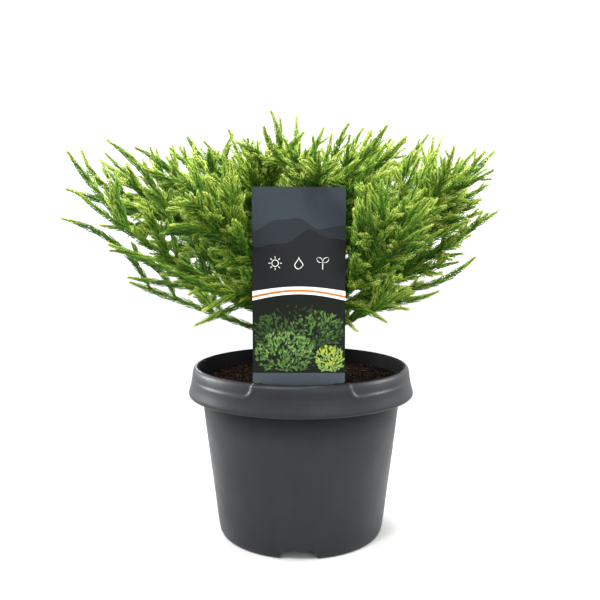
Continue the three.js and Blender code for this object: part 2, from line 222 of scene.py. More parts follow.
class NodeBoard:
    # lays out nodes on one material, from the object's own coordinates
    def __init__(self, material):
        self.tree = material.node_tree
        self.shader = self.tree.nodes["Principled BSDF"]
        self.place = self.tree.nodes.new("ShaderNodeTexCoord").outputs["Object"]

    def add(self, kind, result, inputs, **settings):
        # one node: its settings first, then each input as a link or as a value of its own
        node = self.tree.nodes.new("ShaderNode" + kind)
        for name, value in settings.items():
            setattr(node, name, value)
        for name, value in inputs.items():
            if isinstance(value, bpy.types.NodeSocket):
                self.tree.links.new(value, node.inputs[name])
            else:
                node.inputs[name].default_value = value
        return node.outputs[result]

    def feed(self, name, source):
        self.tree.links.new(source, self.shader.inputs[name])

    def stretched(self, scale):
        return self.add("Mapping", "Vector", {"Vector": self.place, "Scale": scale})

    def noise(self, scale, detail=3, roughness=0.55, place=None):
        inputs = {"Vector": place or self.place, "Scale": scale, "Detail": detail, "Roughness": roughness}
        return self.add("TexNoise", "Fac", inputs)

    def cells(self, scale):
        return self.add("TexVoronoi", "Distance", {"Vector": self.place, "Scale": scale})

    def ramp(self, source, stops):
        # each stop is a position and a screen colour, or a linear one
        result = self.add("ValToRGB", "Color", {"Fac": source})
        elements = result.node.color_ramp.elements
        while len(elements) < len(stops):
            elements.new(0.5)
        for element, (position, color) in zip(elements, stops):
            element.position = position
            element.color = (*(hexColor(color) if isinstance(color, str) else color), 1)
        return result

    def mix(self, factor, first, second, kind="MIX"):
        inputs = {"Factor": factor, "A": first, "B": second}
        return self.add("Mix", "Result", inputs, data_type="RGBA", blend_type=kind)

    def spread(self, source, low, high, fromLow=0.3, fromHigh=0.7):
        inputs = {"Value": source, "From Min": fromLow, "From Max": fromHigh, "To Min": low, "To Max": high}
        return self.add("MapRange", "Result", inputs)

    def bump(self, height, distance, strength, under=None):
        inputs = {"Height": height, "Distance": distance, "Strength": strength}
        if under:
            inputs["Normal"] = under
        normal = self.add("Bump", "Normal", inputs)
        self.feed("Normal", normal)
        return normal


# Camera at the photograph's viewing angle, and a plain pale studio
studio = {
    "cameraPlace": (-1, -729.4, 309),
    "cameraDown": 5.56,  # degrees
    "lens": 42.78,
    "sensor": 36,
    "photoWidth": 600,  # pixels
    "nearest": 20,
    "beam": 28,  # degrees, so that the softboxes light the plant and little of the floor
    "aimHeight": 300,
    "skyStrength": 1.5,
    "floorSize": 8000,
    "floorDrop": 0.4,
    "floorColor": "#dadad9",
    # name, place in mm, size in mm, watts
    "softboxes": [
        ("KeySoftbox", (-450, -650, 1350), 500, 0.95),
        ("TopSoftbox", (150, 100, 1500), 500, 1.6),
        ("SideSoftbox", (1100, 100, 750), 400, 0.7),
        ("BackSoftbox", (-400, 1100, 900), 500, 0.5),
        ("FillSoftbox", (600, -1250, 700), 500, 0.16),
        ("LeftSoftbox", (-1050, 300, 560), 400, 1),
    ],
}


def setCamera():
    bpy.ops.object.select_all(action="DESELECT")
    bpy.ops.object.camera_add(
        location=[c * mm for c in studio["cameraPlace"]],
        rotation=(math.radians(90 - studio["cameraDown"]), 0, 0),
    )
    camera = bpy.context.object
    camera.data.lens = studio["lens"]
    camera.data.sensor_width = studio["sensor"]
    camera.data.clip_start = studio["nearest"] * mm
    bpy.context.scene.camera = camera
    bpy.context.scene.view_settings.view_transform = "Standard"


def setSky():
    sky = bpy.data.worlds.new("StudioSky")
    sky.use_nodes = True
    background = sky.node_tree.nodes["Background"]
    background.inputs["Color"].default_value = (1, 1, 1, 1)
    background.inputs["Strength"].default_value = studio["skyStrength"]
    bpy.context.scene.world = sky


def setSoftboxes():
    for name, place, size, watts in studio["softboxes"]:
        place = Vector(place) * mm
        toPlant = Vector((0, 0, studio["aimHeight"])) * mm - place
        turn = toPlant.to_track_quat("-Z", "Y").to_euler()
        bpy.ops.object.light_add(type="AREA", location=place, rotation=turn)
        softbox = bpy.context.object
        softbox.name = name
        softbox.data.size = size * mm
        softbox.data.spread = math.radians(studio["beam"])
        softbox.data.energy = watts


def setFloor():
    location = (0, 0, -studio["floorDrop"] * mm)
    bpy.ops.mesh.primitive_plane_add(size=studio["floorSize"] * mm, location=location)
    floor = bpy.context.object
    floor.name = "StudioFloor"
    floor.data.materials.append(newMaterial("FloorPaint", studio["floorColor"], 0.8, 0.2))


setCamera()
setSky()
setSoftboxes()
setFloor()
print("studio is set")


# Pot: rings drawn out by the profile, with a fold in the collar, notched crest and four drain mouths
pot = {
    "sides": 576,
    "foldAngle": 24,  # the smooth front panel ends here, in degrees from the front
    "foldHeight": 160,
    "foldCorner": 9,
    "foldStep": 0.8,
    "foldTilt": 0.17,  # how much deeper the fold is for each mm towards the crest
    "foldFade": (34, 80, 0.7),  # first and last degree over which it grows shallower, and by what share
    "foldCore": 100,  # radius that the fold is drawn towards
    "foldSkin": (105, 6.5),  # only what lies outside this radius moves, and in full so much further out
    "lip": (0.34, 2.2, 1.9),  # how far it stands out beside the fold, how far from it, and half its width
    "lipFade": (8, 24),  # mm beside the panel, over which the lip dies out
    "crestNotch": (5, 12, 4.2),
    "crestNotchPlace": (106.6, 172),  # radius and height
    "crestNotchAngle": 103,
    "crestNotchRound": 0.7,
    "drains": 4,
    "drainTurn": -1.8,
    "mouth": (46, 16, 17.6),  # half of its height is under the ground
    "mouthTop": 0.64,  # its width at the top, against its foot
    "mouthRound": 1.8,
    "mouthPlace": (82.5, 0),
    "holeRadius": 4.2,
    "holeDepth": 8,
    "holeStretch": 3.4,
    "holePlace": (74, 9.5),
    # the inner layer, painted near black as shade, lies above the floor and inside the crest's middle
    "layerFloor": 11.3,
    "layerRadius": 107.3,
    "layerCrest": 171.5,
}

# radius and height in mm, from the underside round the outside and the crest to the floor inside
potProfile = [
    # underside, ring channel and foot ring
    (30, 0), (56, 0), (61, 0), (62, 0.8), (64.4, 7.2), (65.4, 8), (72, 8), (78.6, 8), (79.6, 7.4),
    (80, 6.4), (80, 0.8), (80.6, 0), (82, 0), (83.6, 0.7), (84.4, 2.2), (85, 4.4), (85.6, 7.4),
    # wall up to its turn behind the skirt, and down the skirt's inside
    (87.5, 22), (90.1, 43), (93, 66), (95.6, 88), (98.2, 111), (100.5, 132), (101.4, 141),
    (103.6, 153), (105.8, 163.4), (106.5, 164.8), (107.3, 165.1), (108.2, 164.4), (110.2, 157),
    (111.6, 150), (112.5, 144.6),
    # rounded lip of the skirt, and the flare over it
    (113, 143.5), (113.7, 143.1), (114.4, 143.2), (114.9, 143.8), (115.1, 144.7), (115.1, 145.8),
    (114.8, 147.2), (114.3, 148.8), (113.8, 150.6), (113.2, 152.6), (112.7, 154.8), (112.3, 157),
    # the upper band, with rings close enough for the fold
    (112.1, 158.2), (111.95, 159.1), (111.87, 159.9), (111.82, 160.7), (111.78, 161.5), (111.74, 162.4),
    (111.7, 163.6), (111.64, 165), (111.5, 166.6), (111.2, 168.3),
    # crest
    (110.6, 169.9), (109.5, 171.2), (108.4, 171.8), (107.4, 172), (106, 172), (105.4, 171.7), (105, 170.9),
    # wall inside, floor and the roof of the ring channel
    (103.4, 162), (101.3, 152), (99.6, 144), (98.9, 141), (96.2, 118), (93.2, 91), (90.1, 64), (86.9, 36),
    (84.2, 12.4), (83.4, 11), (72, 11), (62.4, 11), (61.4, 10.4), (58.6, 3.8), (57.6, 3), (30, 3),
]


def foldInset(place):
    # how far, in mm, the collar's upper band is drawn in beside the front panel: more towards the crest,
    # less towards the back, with a lip that stands out round the panel's corner
    x, y, z = place.x / mm, place.y / mm, place.z / mm
    radius = math.hypot(x, y)
    above = z - pot["foldHeight"]
    skin, skinDepth = pot["foldSkin"]
    if above < -5 or radius < skin:
        return 0
    around = math.degrees(math.atan2(abs(x), -y))
    across = (around - pot["foldAngle"]) * math.radians(1) * radius
    corner = pot["foldCorner"]
    inside = corner - math.hypot(max(corner - across, 0), max(corner - above, 0))
    firstDegree, lastDegree, fade = pot["foldFade"]
    towardsBack = 1 - fade * float(smoothStep(around, firstDegree, lastDegree))
    depth = pot["foldStep"] + pot["foldTilt"] * max(above, 0)
    lip, beside, halfWidth = pot["lip"]
    lip *= math.exp(-((inside + beside) / halfWidth) ** 2) * (1 - float(smoothStep(across, *pot["lipFade"])))
    thin = min((radius - skin) / skinDepth, 1)
    return (depth * float(smoothStep(inside, -1, 1.6)) - lip) * towardsBack * thin


def foldCollar(piece):
    core = pot["foldCore"]
    for name, side in (("collarFold", 1), ("collarLip", -1)):

        def shareToCore(place):
            return side * foldInset(place) / max(math.hypot(place.x, place.y) / mm - core, 1)

        fold = paintGroup(piece, name, shareToCore)
        applyModifier(
            piece, "CAST", cast_type="CYLINDER", use_z=False, use_radius_as_size=False, size=core * mm,
            factor=side, vertex_group=fold.name,
        )


def mouthCutter(turn):
    # a trapezoid with rounded upper corners, through the foot ring
    cutter = makeBlock(pot["mouth"])
    top = pot["mouth"][2] / 2 * mm
    openMesh(cutter)
    selectFaces(cutter, lambda middle, normal: normal.z > 0.9)
    bpy.ops.transform.resize(value=(pot["mouthTop"], 1, 1), center_override=(0, 0, top))
    selectEdges(cutter, lambda a, b: min(a.z, b.z) > 0.9 * top and abs(a.x - b.x) < mm)
    bpy.ops.mesh.bevel(offset=pot["mouthRound"] * mm, segments=4)
    closeMesh()
    distance, height = pot["mouthPlace"]
    return setRound(cutter, distance, turn, height)


def holeCutter(turn):
    # an upright slot with round ends through the ring channel's roof
    bpy.ops.mesh.primitive_cylinder_add(
        vertices=24, radius=pot["holeRadius"] * mm, depth=pot["holeDepth"] * mm
    )
    cutter = bpy.context.object
    openMesh(cutter)
    for side in (-1, 1):
        selectFaces(cutter, lambda middle, normal: normal.x * side > 0.1 and abs(normal.z) < 0.5)
        bpy.ops.transform.translate(value=(side * pot["holeStretch"] * mm, 0, 0))
    closeMesh()
    distance, height = pot["holePlace"]
    return setRound(cutter, distance, turn, height)


def crestCutter(turn):
    # a small square notch with rounded lower corners, through the crest
    cutter = makeBlock(pot["crestNotch"])
    openMesh(cutter)
    selectEdges(cutter, lambda a, b: max(a.z, b.z) < -mm and abs(a.x - b.x) < 0.1 * mm)
    bpy.ops.mesh.bevel(offset=pot["crestNotchRound"] * mm, segments=3)
    closeMesh()
    distance, height = pot["crestNotchPlace"]
    return setRound(cutter, distance, turn, height)


def onPaintedShadeInside(middle, normal):
    # the wall inside, and the inner half of the crest, both painted near black as shade
    radius = middle.xy.length
    inward = middle.xy.dot(normal.xy) < -0.2 * radius
    shown = inward or middle.z > pot["layerCrest"] * mm
    return shown and middle.z > pot["layerFloor"] * mm and radius < pot["layerRadius"] * mm


def makePot():
    piece = turnSolid("nursery_pot", potProfile, pot["sides"])
    foldCollar(piece)
    for i in range(pot["drains"]):
        turn = i * 360 / pot["drains"] + pot["drainTurn"]
        combine(piece, mouthCutter(turn), "DIFFERENCE")
        combine(piece, holeCutter(turn), "DIFFERENCE")
    for side in (-1, 1):
        combine(piece, crestCutter(side * pot["crestNotchAngle"]), "DIFFERENCE")
    piece.vertex_groups.clear()
    piece.data.materials.append(potPlastic())
    # painted shade: the second material, near black, stands in for the shade inside the pot
    piece.data.materials.append(paintedShadeInside())
    openMesh(piece)
    selectFaces(piece, onPaintedShadeInside)
    piece.active_material_index = 1
    bpy.ops.object.material_slot_assign()
    closeMesh()
    finishPiece(piece, ["pot"], 32)


def potPlastic():
    # satin anthracite plastic with faint moulding streaks, a fine grain, a little dust and wear, and
    # painted shade on the wall under the collar: a darker base and a weaker sheen there
    material = newMaterial("PotPlastic", "#1d1e21", 0.42, 0.22)
    board = NodeBoard(material)
    streaks = board.noise(1, 4, 0.6, board.stretched((60, 60, 7)))
    clouds = board.noise(16)
    clean = board.ramp(streaks, [(0.3, "#17181d"), (0.7, "#1d1f24")])
    dusty = board.ramp(clouds, [(0.35, "#191b20"), (0.75, "#212328")])
    faded = board.mix(board.spread(clouds, 0.2, 0.6), clean, dusty)
    height = board.spread(board.add("SeparateXYZ", "Z", {"Vector": board.place}), 0, 1, 0.1, 0.15)
    # painted shade under the collar: the base darkens from about 115 mm up to the lip at 143 mm
    shade = board.ramp(height, [(0.3, "#ffffff"), (0.6, "#cccccc"), (0.84, "#8c8c8c"), (0.86, "#ffffff")])
    board.feed("Base Color", board.mix(1, faded, shade, "MULTIPLY"))
    # painted shade on the sheen as well: the reflection weakens under the collar
    sheen = board.ramp(height, [(0.3, "#ffffff"), (0.6, "#dddddd"), (0.84, "#a4a4a4"), (0.86, "#ffffff")])
    board.feed("Specular IOR Level", board.spread(sheen, 0, 0.26, 0, 1))
    board.feed("Roughness", board.spread(board.noise(45, 4), 0.38, 0.48))
    grain = board.bump(board.noise(1400, 2), 0.00006, 0.3)
    board.bump(streaks, 0.0004, 0.12, grain)
    return material


def paintedShadeInside():
    # painted shade: the pot's inside, shaded by the foliage, is made near black, with a streaky tone and
    # roughness
    material = newMaterial("PotInsidePaintedShade", "#070708", 0.6, 0.03)
    board = NodeBoard(material)
    shadeStreaks = board.noise(30, 4, 0.6, board.stretched((1, 1, 0.3)))
    board.feed("Base Color", board.ramp(shadeStreaks, [(0.35, "#040405"), (0.72, "#0a0b0c")]))
    board.feed("Roughness", board.spread(shadeStreaks, 0.55, 0.7))
    board.bump(board.noise(1100, 2), 0.00006, 0.3)
    return material


makePot()
print("pot is turned")


# Growing rule, the same as the part's source, in mm
crown = {
    "hub": np.array([-2.0, 1.0, 210.0]),
    "radius": 220,
    "rise": 201,
    "squareness": 6,
    "shift": np.array([-22.0, 0.0, 0.0]),
    "tilt": 0.03,
    "dip": 0.2,
    "lowestLift": 0,
    "fullLift": 29,
    "underShare": 0.25,  # the reach at and under the lowest lift
    "outermost": 1.02,  # share of the outline that nothing of the part passes
    "lowest": 196,
    # the closed foliage's underside stands this far over the hub, and so much further at the radius
    "skirtFoot": 18,
    "skirtRise": 92,
    "skirtRadius": 177,
    "skirtPower": 3.2,
    "skirtLeft": 0.95,
    "skirtStep": (6, 20, 60),  # mm higher on the left, and the distances over which that sets in
    # share of the outline by which the closed foliage stays back, left and right at mid height: the height,
    # half its extent and the distances over which it sets in
    "waist": (0.06, 318, 28, (110, 150)),
    # and at the top left: the heights and the distances over which it sets in
    "shoulder": (0.03, (362, 390), (0, 50)),
    "closedShare": 0.955,  # the part's side shoots end here, against the outline
}
tiers = [
    {"name": "low", "count": 8, "frontGap": 44, "lift": 23, "leave": 32, "leaveStep": 7, "levels": 3,
     "bare": 44, "sag": 0},
    {"name": "mid", "count": 10, "frontGap": 31, "lift": 39, "leave": 58, "leaveStep": 4, "levels": 5,
     "bare": 38, "sag": 15},
    {"name": "upper", "count": 6, "frontGap": 0, "lift": 62, "leave": 86, "leaveStep": 11, "levels": 3,
     "bare": 30, "sag": 8},
]
stemRule = {
    "seed": 2024,
    "frontAzimuth": -86,
    "azimuthStray": 4,
    "liftStep": 8,
    "liftStray": 2,
    "reach": (0.94, 1),
    "bow": 40,
    "topTip": (96, 84, 1.08),  # azimuth, lift and share of the outline
}
shootRule = {
    "stray": 5,
    "goldenAngle": 137.508,
    "drawnIn": (0, 0.14, 0.28, 0.42),  # shares by which a shoot without room is drawn in, in turn
    "setback": 1.15,  # how far back on its stem a shoot starts, for each mm to its side
    "clearOfBare": 0.04,
    "follow": 0.2,  # of its reach, along the stem's heading
    "rise": 0.1,
    "labelRoom": 4.5,
}
trunk = {"foot": 159.3, "height": 132, "radius": 8.5, "tipRadius": 2.6, "flare": 5, "lean": (-7, 5, 0)}
card = {
    "width": 82.7,
    "height": 175,
    "thickness": 0.8,
    "distance": 98,
    "offset": -2,
    "bottom": 172.3,
    "corner": 2,
    "stemWidth": 12,
    "stemLength": 46,
    "stemLean": 0.11,
}
up = np.array([0.0, 0.0, 1.0])


def makeDice(seed):
    state = seed

    def roll(low, high):
        nonlocal state
        state = state * 48271 % 2147483647
        return low + (high - low) * state / 2147483647

    return roll


def unit(vectors):
    return vectors / np.linalg.norm(vectors, axis=-1, keepdims=True)


class Limb:
    # a centre line from 0 at its root to 1 at its tip: a straight run, a bend that grows outwards, and a
    # nod that only the tip takes
    def __init__(self, start, run, bend):
        self.start, self.run, self.bend = start, run, bend
        self.length = float(np.linalg.norm(run + bend / 2))
        self.nodTo(np.zeros(3))

    def nodTo(self, nod):
        self.nod = nod
        self.joints = self.at(np.linspace(0, 1, 17))

    def at(self, share):
        s = np.asarray(share, float)[..., None]
        return self.start + self.run * s + self.bend * s ** 2 + self.nod * s ** 5

    def heading(self, share):
        s = np.asarray(share, float)[..., None]
        return unit(self.run + 2 * self.bend * s + 5 * self.nod * s ** 4)

    def cutAt(self, share):
        return Limb(self.start, self.run * share, self.bend * share ** 2)


def nearestOn(joints, point):
    # nearest share and distance from a point to each of several centre lines given by their joints
    start, step = joints[:, :-1], np.diff(joints, axis=1)
    along = ((point - start) * step).sum(-1) / (step ** 2).sum(-1)
    along = np.clip(along, 0, 1)
    apart = np.linalg.norm(start + step * along[..., None] - point, axis=-1)
    best = apart.argmin(1)
    rows = np.arange(len(joints))
    return (best + along[rows, best]) / start.shape[1], apart[rows, best]


def crownReach(lift):
    angle = np.radians(lift)
    power = crown["squareness"]
    across = (np.cos(angle) / crown["radius"]) ** power
    above = np.abs(np.sin(angle) / crown["rise"]) ** power
    fade = smoothStep(lift, crown["lowestLift"], crown["fullLift"])
    return (across + above) ** (-1 / power) * lerp(crown["underShare"], 1, fade)


def crownTallness(offset):
    # how tall the crown stands over a place beside the hub, against its height over the hub itself
    x, y = offset[..., 0] / crown["radius"], offset[..., 1] / crown["radius"]
    return 1 + crown["tilt"] * x - crown["dip"] * y ** 2


def crownShareOf(points):
    # 1 is on the crown's outline
    offset = points - crown["hub"]
    lean = (np.linalg.norm(offset, axis=-1) - offset[..., 2]) / crown["radius"]
    offset = offset - crown["shift"] * lean[..., None]
    offset[..., 2] /= crownTallness(offset)
    lift = np.degrees(np.arctan2(offset[..., 2], np.hypot(offset[..., 0], offset[..., 1])))
    return np.linalg.norm(offset, axis=-1) / crownReach(lift)


def skirtHeight(points):
    # the closed foliage ends at this height over the ground, and only slender shoots reach out under it
    x, y = points[..., 0], points[..., 1]
    distance = np.hypot(np.where(x < 0, x * crown["skirtLeft"], x), y)
    step, near, far = crown["skirtStep"]
    foot = crown["hub"][2] + crown["skirtFoot"] + step * smoothStep(-x, near, far)
    return foot + crown["skirtRise"] * (distance / crown["skirtRadius"]) ** crown["skirtPower"]


def stayBack(points):
    # how far, as a share of the outline, the closed foliage stays back left and right at mid height, and at
    # the top left
    x, z = points[..., 0], points[..., 2]
    waist, middle, half, beside = crown["waist"]
    waist = waist * (np.exp(-(((z - middle) / half) ** 2)) * smoothStep(np.abs(x), *beside))
    shoulder, heights, beside = crown["shoulder"]
    return waist + shoulder * (smoothStep(z, *heights) * smoothStep(-x, *beside))


def crownPoint(azimuth, lift, share):
    level = math.cos(math.radians(lift))
    way = np.array([
        level * math.cos(math.radians(azimuth)),
        level * math.sin(math.radians(azimuth)),
        math.sin(math.radians(lift)),
    ])
    reach = crownReach(lift) * share
    offset = way * reach
    offset[2] *= crownTallness(offset)
    return crown["hub"] + offset + crown["shift"] * reach * (1 - way[2]) / crown["radius"]


trunkLine = Limb(np.array([0, 0, trunk["foot"]]), up * trunk["height"], np.array(trunk["lean"], float))


def planStems():
    dice = makeDice(stemRule["seed"])
    stems = []
    for tier in tiers:
        count, frontGap = tier["count"], tier["frontGap"]
        pitch = (360 - 2 * frontGap) / (count - 1) if frontGap else 360 / count
        for i in range(count):
            stray = dice(-stemRule["azimuthStray"], stemRule["azimuthStray"])
            azimuth = stemRule["frontAzimuth"] + frontGap + i * pitch + stray
            lift = tier["lift"] + stemRule["liftStep"] * (i % 2 - 0.5)
            lift += dice(-stemRule["liftStray"], stemRule["liftStray"])
            tip = crownPoint(azimuth, lift, dice(*stemRule["reach"]))
            leave = tier["leave"] + tier["leaveStep"] * (2 * i % tier["levels"])
            start = trunkLine.at(leave / trunk["height"])
            bow = np.array([-math.sin(math.radians(azimuth)), math.cos(math.radians(azimuth)), 0])
            bend = up * tier["sag"] * 4 + bow * dice(-stemRule["bow"], stemRule["bow"])
            line = Limb(start, tip - start - bend, bend)
            stems.append({
                "node": f"{tier['name']}_foliage_{i + 1}",
                "bough": f"{tier['name']}_bough_{i + 1}",
                "line": line,
                "bare": tier["bare"] / line.length,
            })
    start = trunkLine.at(1)
    line = Limb(start, crownPoint(*stemRule["topTip"]) - start, np.zeros(3))
    stems.append({"node": "top_foliage", "bough": None, "line": line, "bare": 0})
    return stems


stems = planStems()
stemJoints = np.array([stem["line"].joints for stem in stems])


def clearOfLabel(points, reach):
    beside = np.abs(points[..., 0] - card["offset"]) < card["width"] / 2 + reach
    before = points[..., 1] < 6 + reach - card["distance"]
    under = points[..., 2] < card["bottom"] + card["height"] + reach
    return ~(beside & before & under)


def inOwnSpace(point, own, reach):
    apart = nearestOn(stemJoints, point)[1]
    others = np.delete(apart, own)
    if (others - apart[own] < 2 * reach + 0.3).any() or crownShareOf(point) > crown["outermost"]:
        return False
    if nearestOn(trunkLine.joints[None], point)[1][0] < trunk["radius"] + reach:
        return False
    return bool(clearOfLabel(point, max(reach, shootRule["labelRoom"]))) and point[2] > crown["lowest"]


def shootTo(end, own, share, apart):
    stem = stems[own]
    line = stem["line"]
    rootShare = share - apart * shootRule["setback"] / line.length
    rootShare = max(stem["bare"] + shootRule["clearOfBare"], rootShare)
    start = line.at(rootShare)
    reach = float(np.linalg.norm(end - start))
    bend = line.heading(rootShare) * shootRule["follow"] * reach + up * shootRule["rise"] * reach
    return Limb(start, end - start - bend, bend)


def planShoots(shoots, shells, reach, room, overSkirt=False):
    # shells of side shoots inside the crown's outline, each shoot on the stem nearest its end; reach is how
    # far its needles reach, and room is what it keeps from its sisters
    stray = shootRule["stray"]
    for shell in shells:
        dice = makeDice(shell["seed"])
        for k in range(shell["count"]):
            lift = math.degrees(math.asin((k + 0.5) / shell["count"])) + dice(-stray, stray)
            azimuth = shootRule["goldenAngle"] * k + dice(-stray, stray)
            wanted = crownPoint(azimuth, lift, dice(shell["nearest"], shell["furthest"]))
            if overSkirt and wanted[2] < skirtHeight(wanted):
                continue
            shares, aparts = nearestOn(stemJoints, wanted)
            own = int(aparts.argmin())
            sisters = np.array([shoot["line"].joints for shoot in shoots if shoot["own"] == own])
            for drawnIn in shootRule["drawnIn"]:
                foot = stems[own]["line"].at(shares[own])
                line = shootTo(wanted + (foot - wanted) * drawnIn, own, shares[own], aparts[own])
                if line.length < shell["shortest"]:
                    continue
                outer = line.at([0.4, 0.6, 0.8, 1])
                if len(sisters) and min(nearestOn(sisters, p)[1].min() for p in outer[1:]) < room:
                    continue
                if all(inOwnSpace(p, own, reach) for p in outer):
                    shoots.append({"own": own, "line": line, "order": 1})
                    break
    return shoots


shells = [
    {"seed": 11, "count": 150, "nearest": 0.88, "furthest": 1, "shortest": 26},
    {"seed": 12, "count": 90, "nearest": 0.58, "furthest": 0.78, "shortest": 26},
]
finerShells = [
    {"seed": 21, "count": 230, "nearest": 0.76, "furthest": 0.92, "shortest": 26},
    {"seed": 22, "count": 170, "nearest": 0.54, "furthest": 0.78, "shortest": 20},
    {"seed": 23, "count": 90, "nearest": 0.28, "furthest": 0.48, "shortest": 15},
]
# Slender shoots that stand out in the photo, read one by one: the pixel of the tip, the pixel of a place that
# the shoot passes, and how the tip lies in depth: on the edge of the outline, along the top by turns nearer
# and further, where the crown's front begins, or at a depth in mm
seenShoots = [
    ((68.2, 152.3), (93, 186), "top"), ((81.5, 150.7), (97.2, 179.2), "top"),
    ((67.4, 188.8), (103, 200.8), "top"), ((99.7, 160.6), (132.9, 184.2), "top"),
    ((107.7, 140.7), (146.1, 175.9), "top"), ((136.2, 147.7), (169.4, 170.9), "top"),
    ((143.6, 167.6), (172.7, 180.9), "top"), ((172.7, 145.2), (176, 170.9), "top"),
    ((187.6, 137.4), (206, 162), "top"), ((181, 157.7), (208, 170), "top"),
    ((209.2, 150.2), (212, 172), "top"), ((232.4, 134.4), (224, 164), "top"),
    ((237.3, 141.9), (256, 154), "top"), ((260.6, 141.9), (247, 162), "top"),
    ((271, 110.4), (279, 141), "top"), ((280, 118.7), (280, 150), "top"),
    ((263.9, 127), (272, 148), "top"), ((62.4, 219), (106.3, 237.3), "edge"),
    ((99.7, 224.8), (126, 229), "edge"), ((110.5, 250.2), (142.8, 259), "edge"),
    ((127.9, 277.1), (166, 284), "edge"), ((189.3, 294.5), (214, 288), -100),
    ((203.4, 311.1), (232, 297), -106), ((195.9, 325.2), (231, 309), -104),
    ((303.7, 132.9), (291, 146), "top"), ((324.2, 127.7), (314, 149), "top"),
    ((349.1, 123.7), (336, 150), "top"), ((362.3, 128.8), (352, 147), "top"),
    ((387.1, 125.7), (368, 152), "top"), ((384, 146), (366, 156), "top"),
    ((404.9, 137.4), (385, 159), "top"), ((427.4, 134.9), (402, 165), "top"),
    ((420.1, 149.6), (408, 166), "top"), ((439.2, 150.1), (425, 168), "top"),
    ((454.4, 147), (444, 175), "top"), ((462, 160), (452, 184), "top"),
    ((484.1, 151.6), (460.5, 178), "top"), ((494, 151.6), (467, 181), "top"),
    ((486.3, 185.1), (459, 202), "edge"), ((478.7, 199.5), (455, 213), "edge"),
    ((487.9, 214), (452, 242), "edge"), ((474.9, 257.4), (440, 281), "edge"),
    ((457.4, 261.9), (432, 268), "edge"), ((437.7, 292), (410, 300), "edge"),
    ((408.7, 309.1), (381, 308), -96), ((385.9, 321.3), (361, 309), -96),
    ((356.7, 330.4), (343, 318), -92), ((170.2, 225.6), (199, 229), "front"),
    ((160.2, 234.8), (186, 232), "front"), ((179.3, 202.4), (198, 210), "front"),
    ((207.5, 230.6), (226, 231), -124), ((222.4, 194.1), (231, 214), -112),
    ((446, 206.4), (428, 216), "front"), ((402.6, 214.8), (383, 227), "front"),
    ((379, 232.3), (362, 242), -122), ((377.5, 257.4), (364, 270), -122),
    ((423.9, 243.7), (400, 250), "front"), ((432.3, 225.4), (404, 245), "front"),
    ((362.3, 222.4), (354, 236), -118), ((387.4, 172.1), (370, 192), "front"),
    ((331.1, 180.5), (352, 193), -100), ((357, 186), (364, 228), -112),
    ((368.4, 156.9), (364, 182), -60),
]
placing = {
    "depths": np.arange(-190, 150, 2.0),  # tried for each tip, from the front to the back
    "front": 0.95,  # share of the outline where the crown's front begins
    "outline": (1.0, 0.02),  # a tip along the top lies within this share, or within so much over the least
    "turns": (0.25, 0.8, 0.5, 0.95, 0.1, 0.65),  # between the nearest and the furthest of its depths
    "furthest": 40,
    "passedDepth": 0.8,  # of the tip's depth
    "onwards": 1.1,  # the root is sought beyond the passed place, so far for each mm from it to the tip
    "rootBack": 0.06,
    "stemsTried": 5,
    "labelRoom": 3,
}
cutting = {
    "underSkirt": 8,  # mm that a side shoot may hang under the closed foliage
    "fromJoint": 5,
    "fewestJoints": 7,
    "labelRoom": 2,
}
nodding = {
    "seed": 41,
    "hang": (0.02, 0.3),  # least and most, as a share of the shoot's length
    "longest": 46,
    "outlineHang": 0.2,  # on the outline, against inside
    "fade": (0.76, 0.96),
    "outward": 0.5,
    "down": 0.8,
}


def seenPlace(pixel, depth):
    # the place in mm that the camera sees at a pixel of the photo, this far behind the pot's axis
    depth = np.asarray(depth, float)
    half = studio["photoWidth"] / 2
    focal = studio["lens"] / studio["sensor"] * studio["photoWidth"]
    tilt = math.radians(studio["cameraDown"])
    x, y, z = studio["cameraPlace"]
    slope = (half - pixel[1]) / focal
    rise = (slope * math.cos(tilt) - math.sin(tilt)) / (math.cos(tilt) + slope * math.sin(tilt))
    rise = (depth - y) * rise
    ahead = (depth - y) * math.cos(tilt) - rise * math.sin(tilt)
    return np.stack([x + (pixel[0] - half) / focal * ahead, depth, z + rise], -1)


def tipDepth(pixel, rule, number):
    if not isinstance(rule, str):
        return rule
    depths = placing["depths"]
    share = crownShareOf(seenPlace(pixel, depths))
    best = share.argmin()
    if rule == "front" and (share < placing["front"]).any():
        best = (share < placing["front"]).argmax()
    elif rule == "top":
        most, over = placing["outline"]
        inside = np.flatnonzero(share < max(most, share.min() + over))
        turn = placing["turns"][number % len(placing["turns"])]
        furthest = np.abs(depths - placing["furthest"]).argmin()
        best = min(lerp(inside[0], inside[-1], turn), furthest)
    return depths[int(best)]


def planSeenShoots():
    # each grows from the nearest stem from which it passes clear of the label
    found = []
    for number, (tipPixel, passedPixel, rule) in enumerate(seenShoots):
        depth = tipDepth(tipPixel, rule, number)
        tip = np.round(seenPlace(tipPixel, depth))
        passed = np.round(seenPlace(passedPixel, depth * placing["passedDepth"]))
        shares, aparts = nearestOn(stemJoints, passed - (tip - passed) * placing["onwards"])
        for own in aparts.argsort()[:placing["stemsTried"]]:
            stem = stems[own]
            start = stem["line"].at(max(float(shares[own]) - placing["rootBack"], stem["bare"]))
            before, after = np.linalg.norm(passed - start), np.linalg.norm(tip - passed)
            share = before / (before + after)
            bend = (passed - start - (tip - start) * share) / (share * share - share)
            line = Limb(start, tip - start - bend, bend)
            if clearOfLabel(line.joints, placing["labelRoom"]).all():
                found.append({"own": int(own), "line": line, "order": 1})
                break
    return found


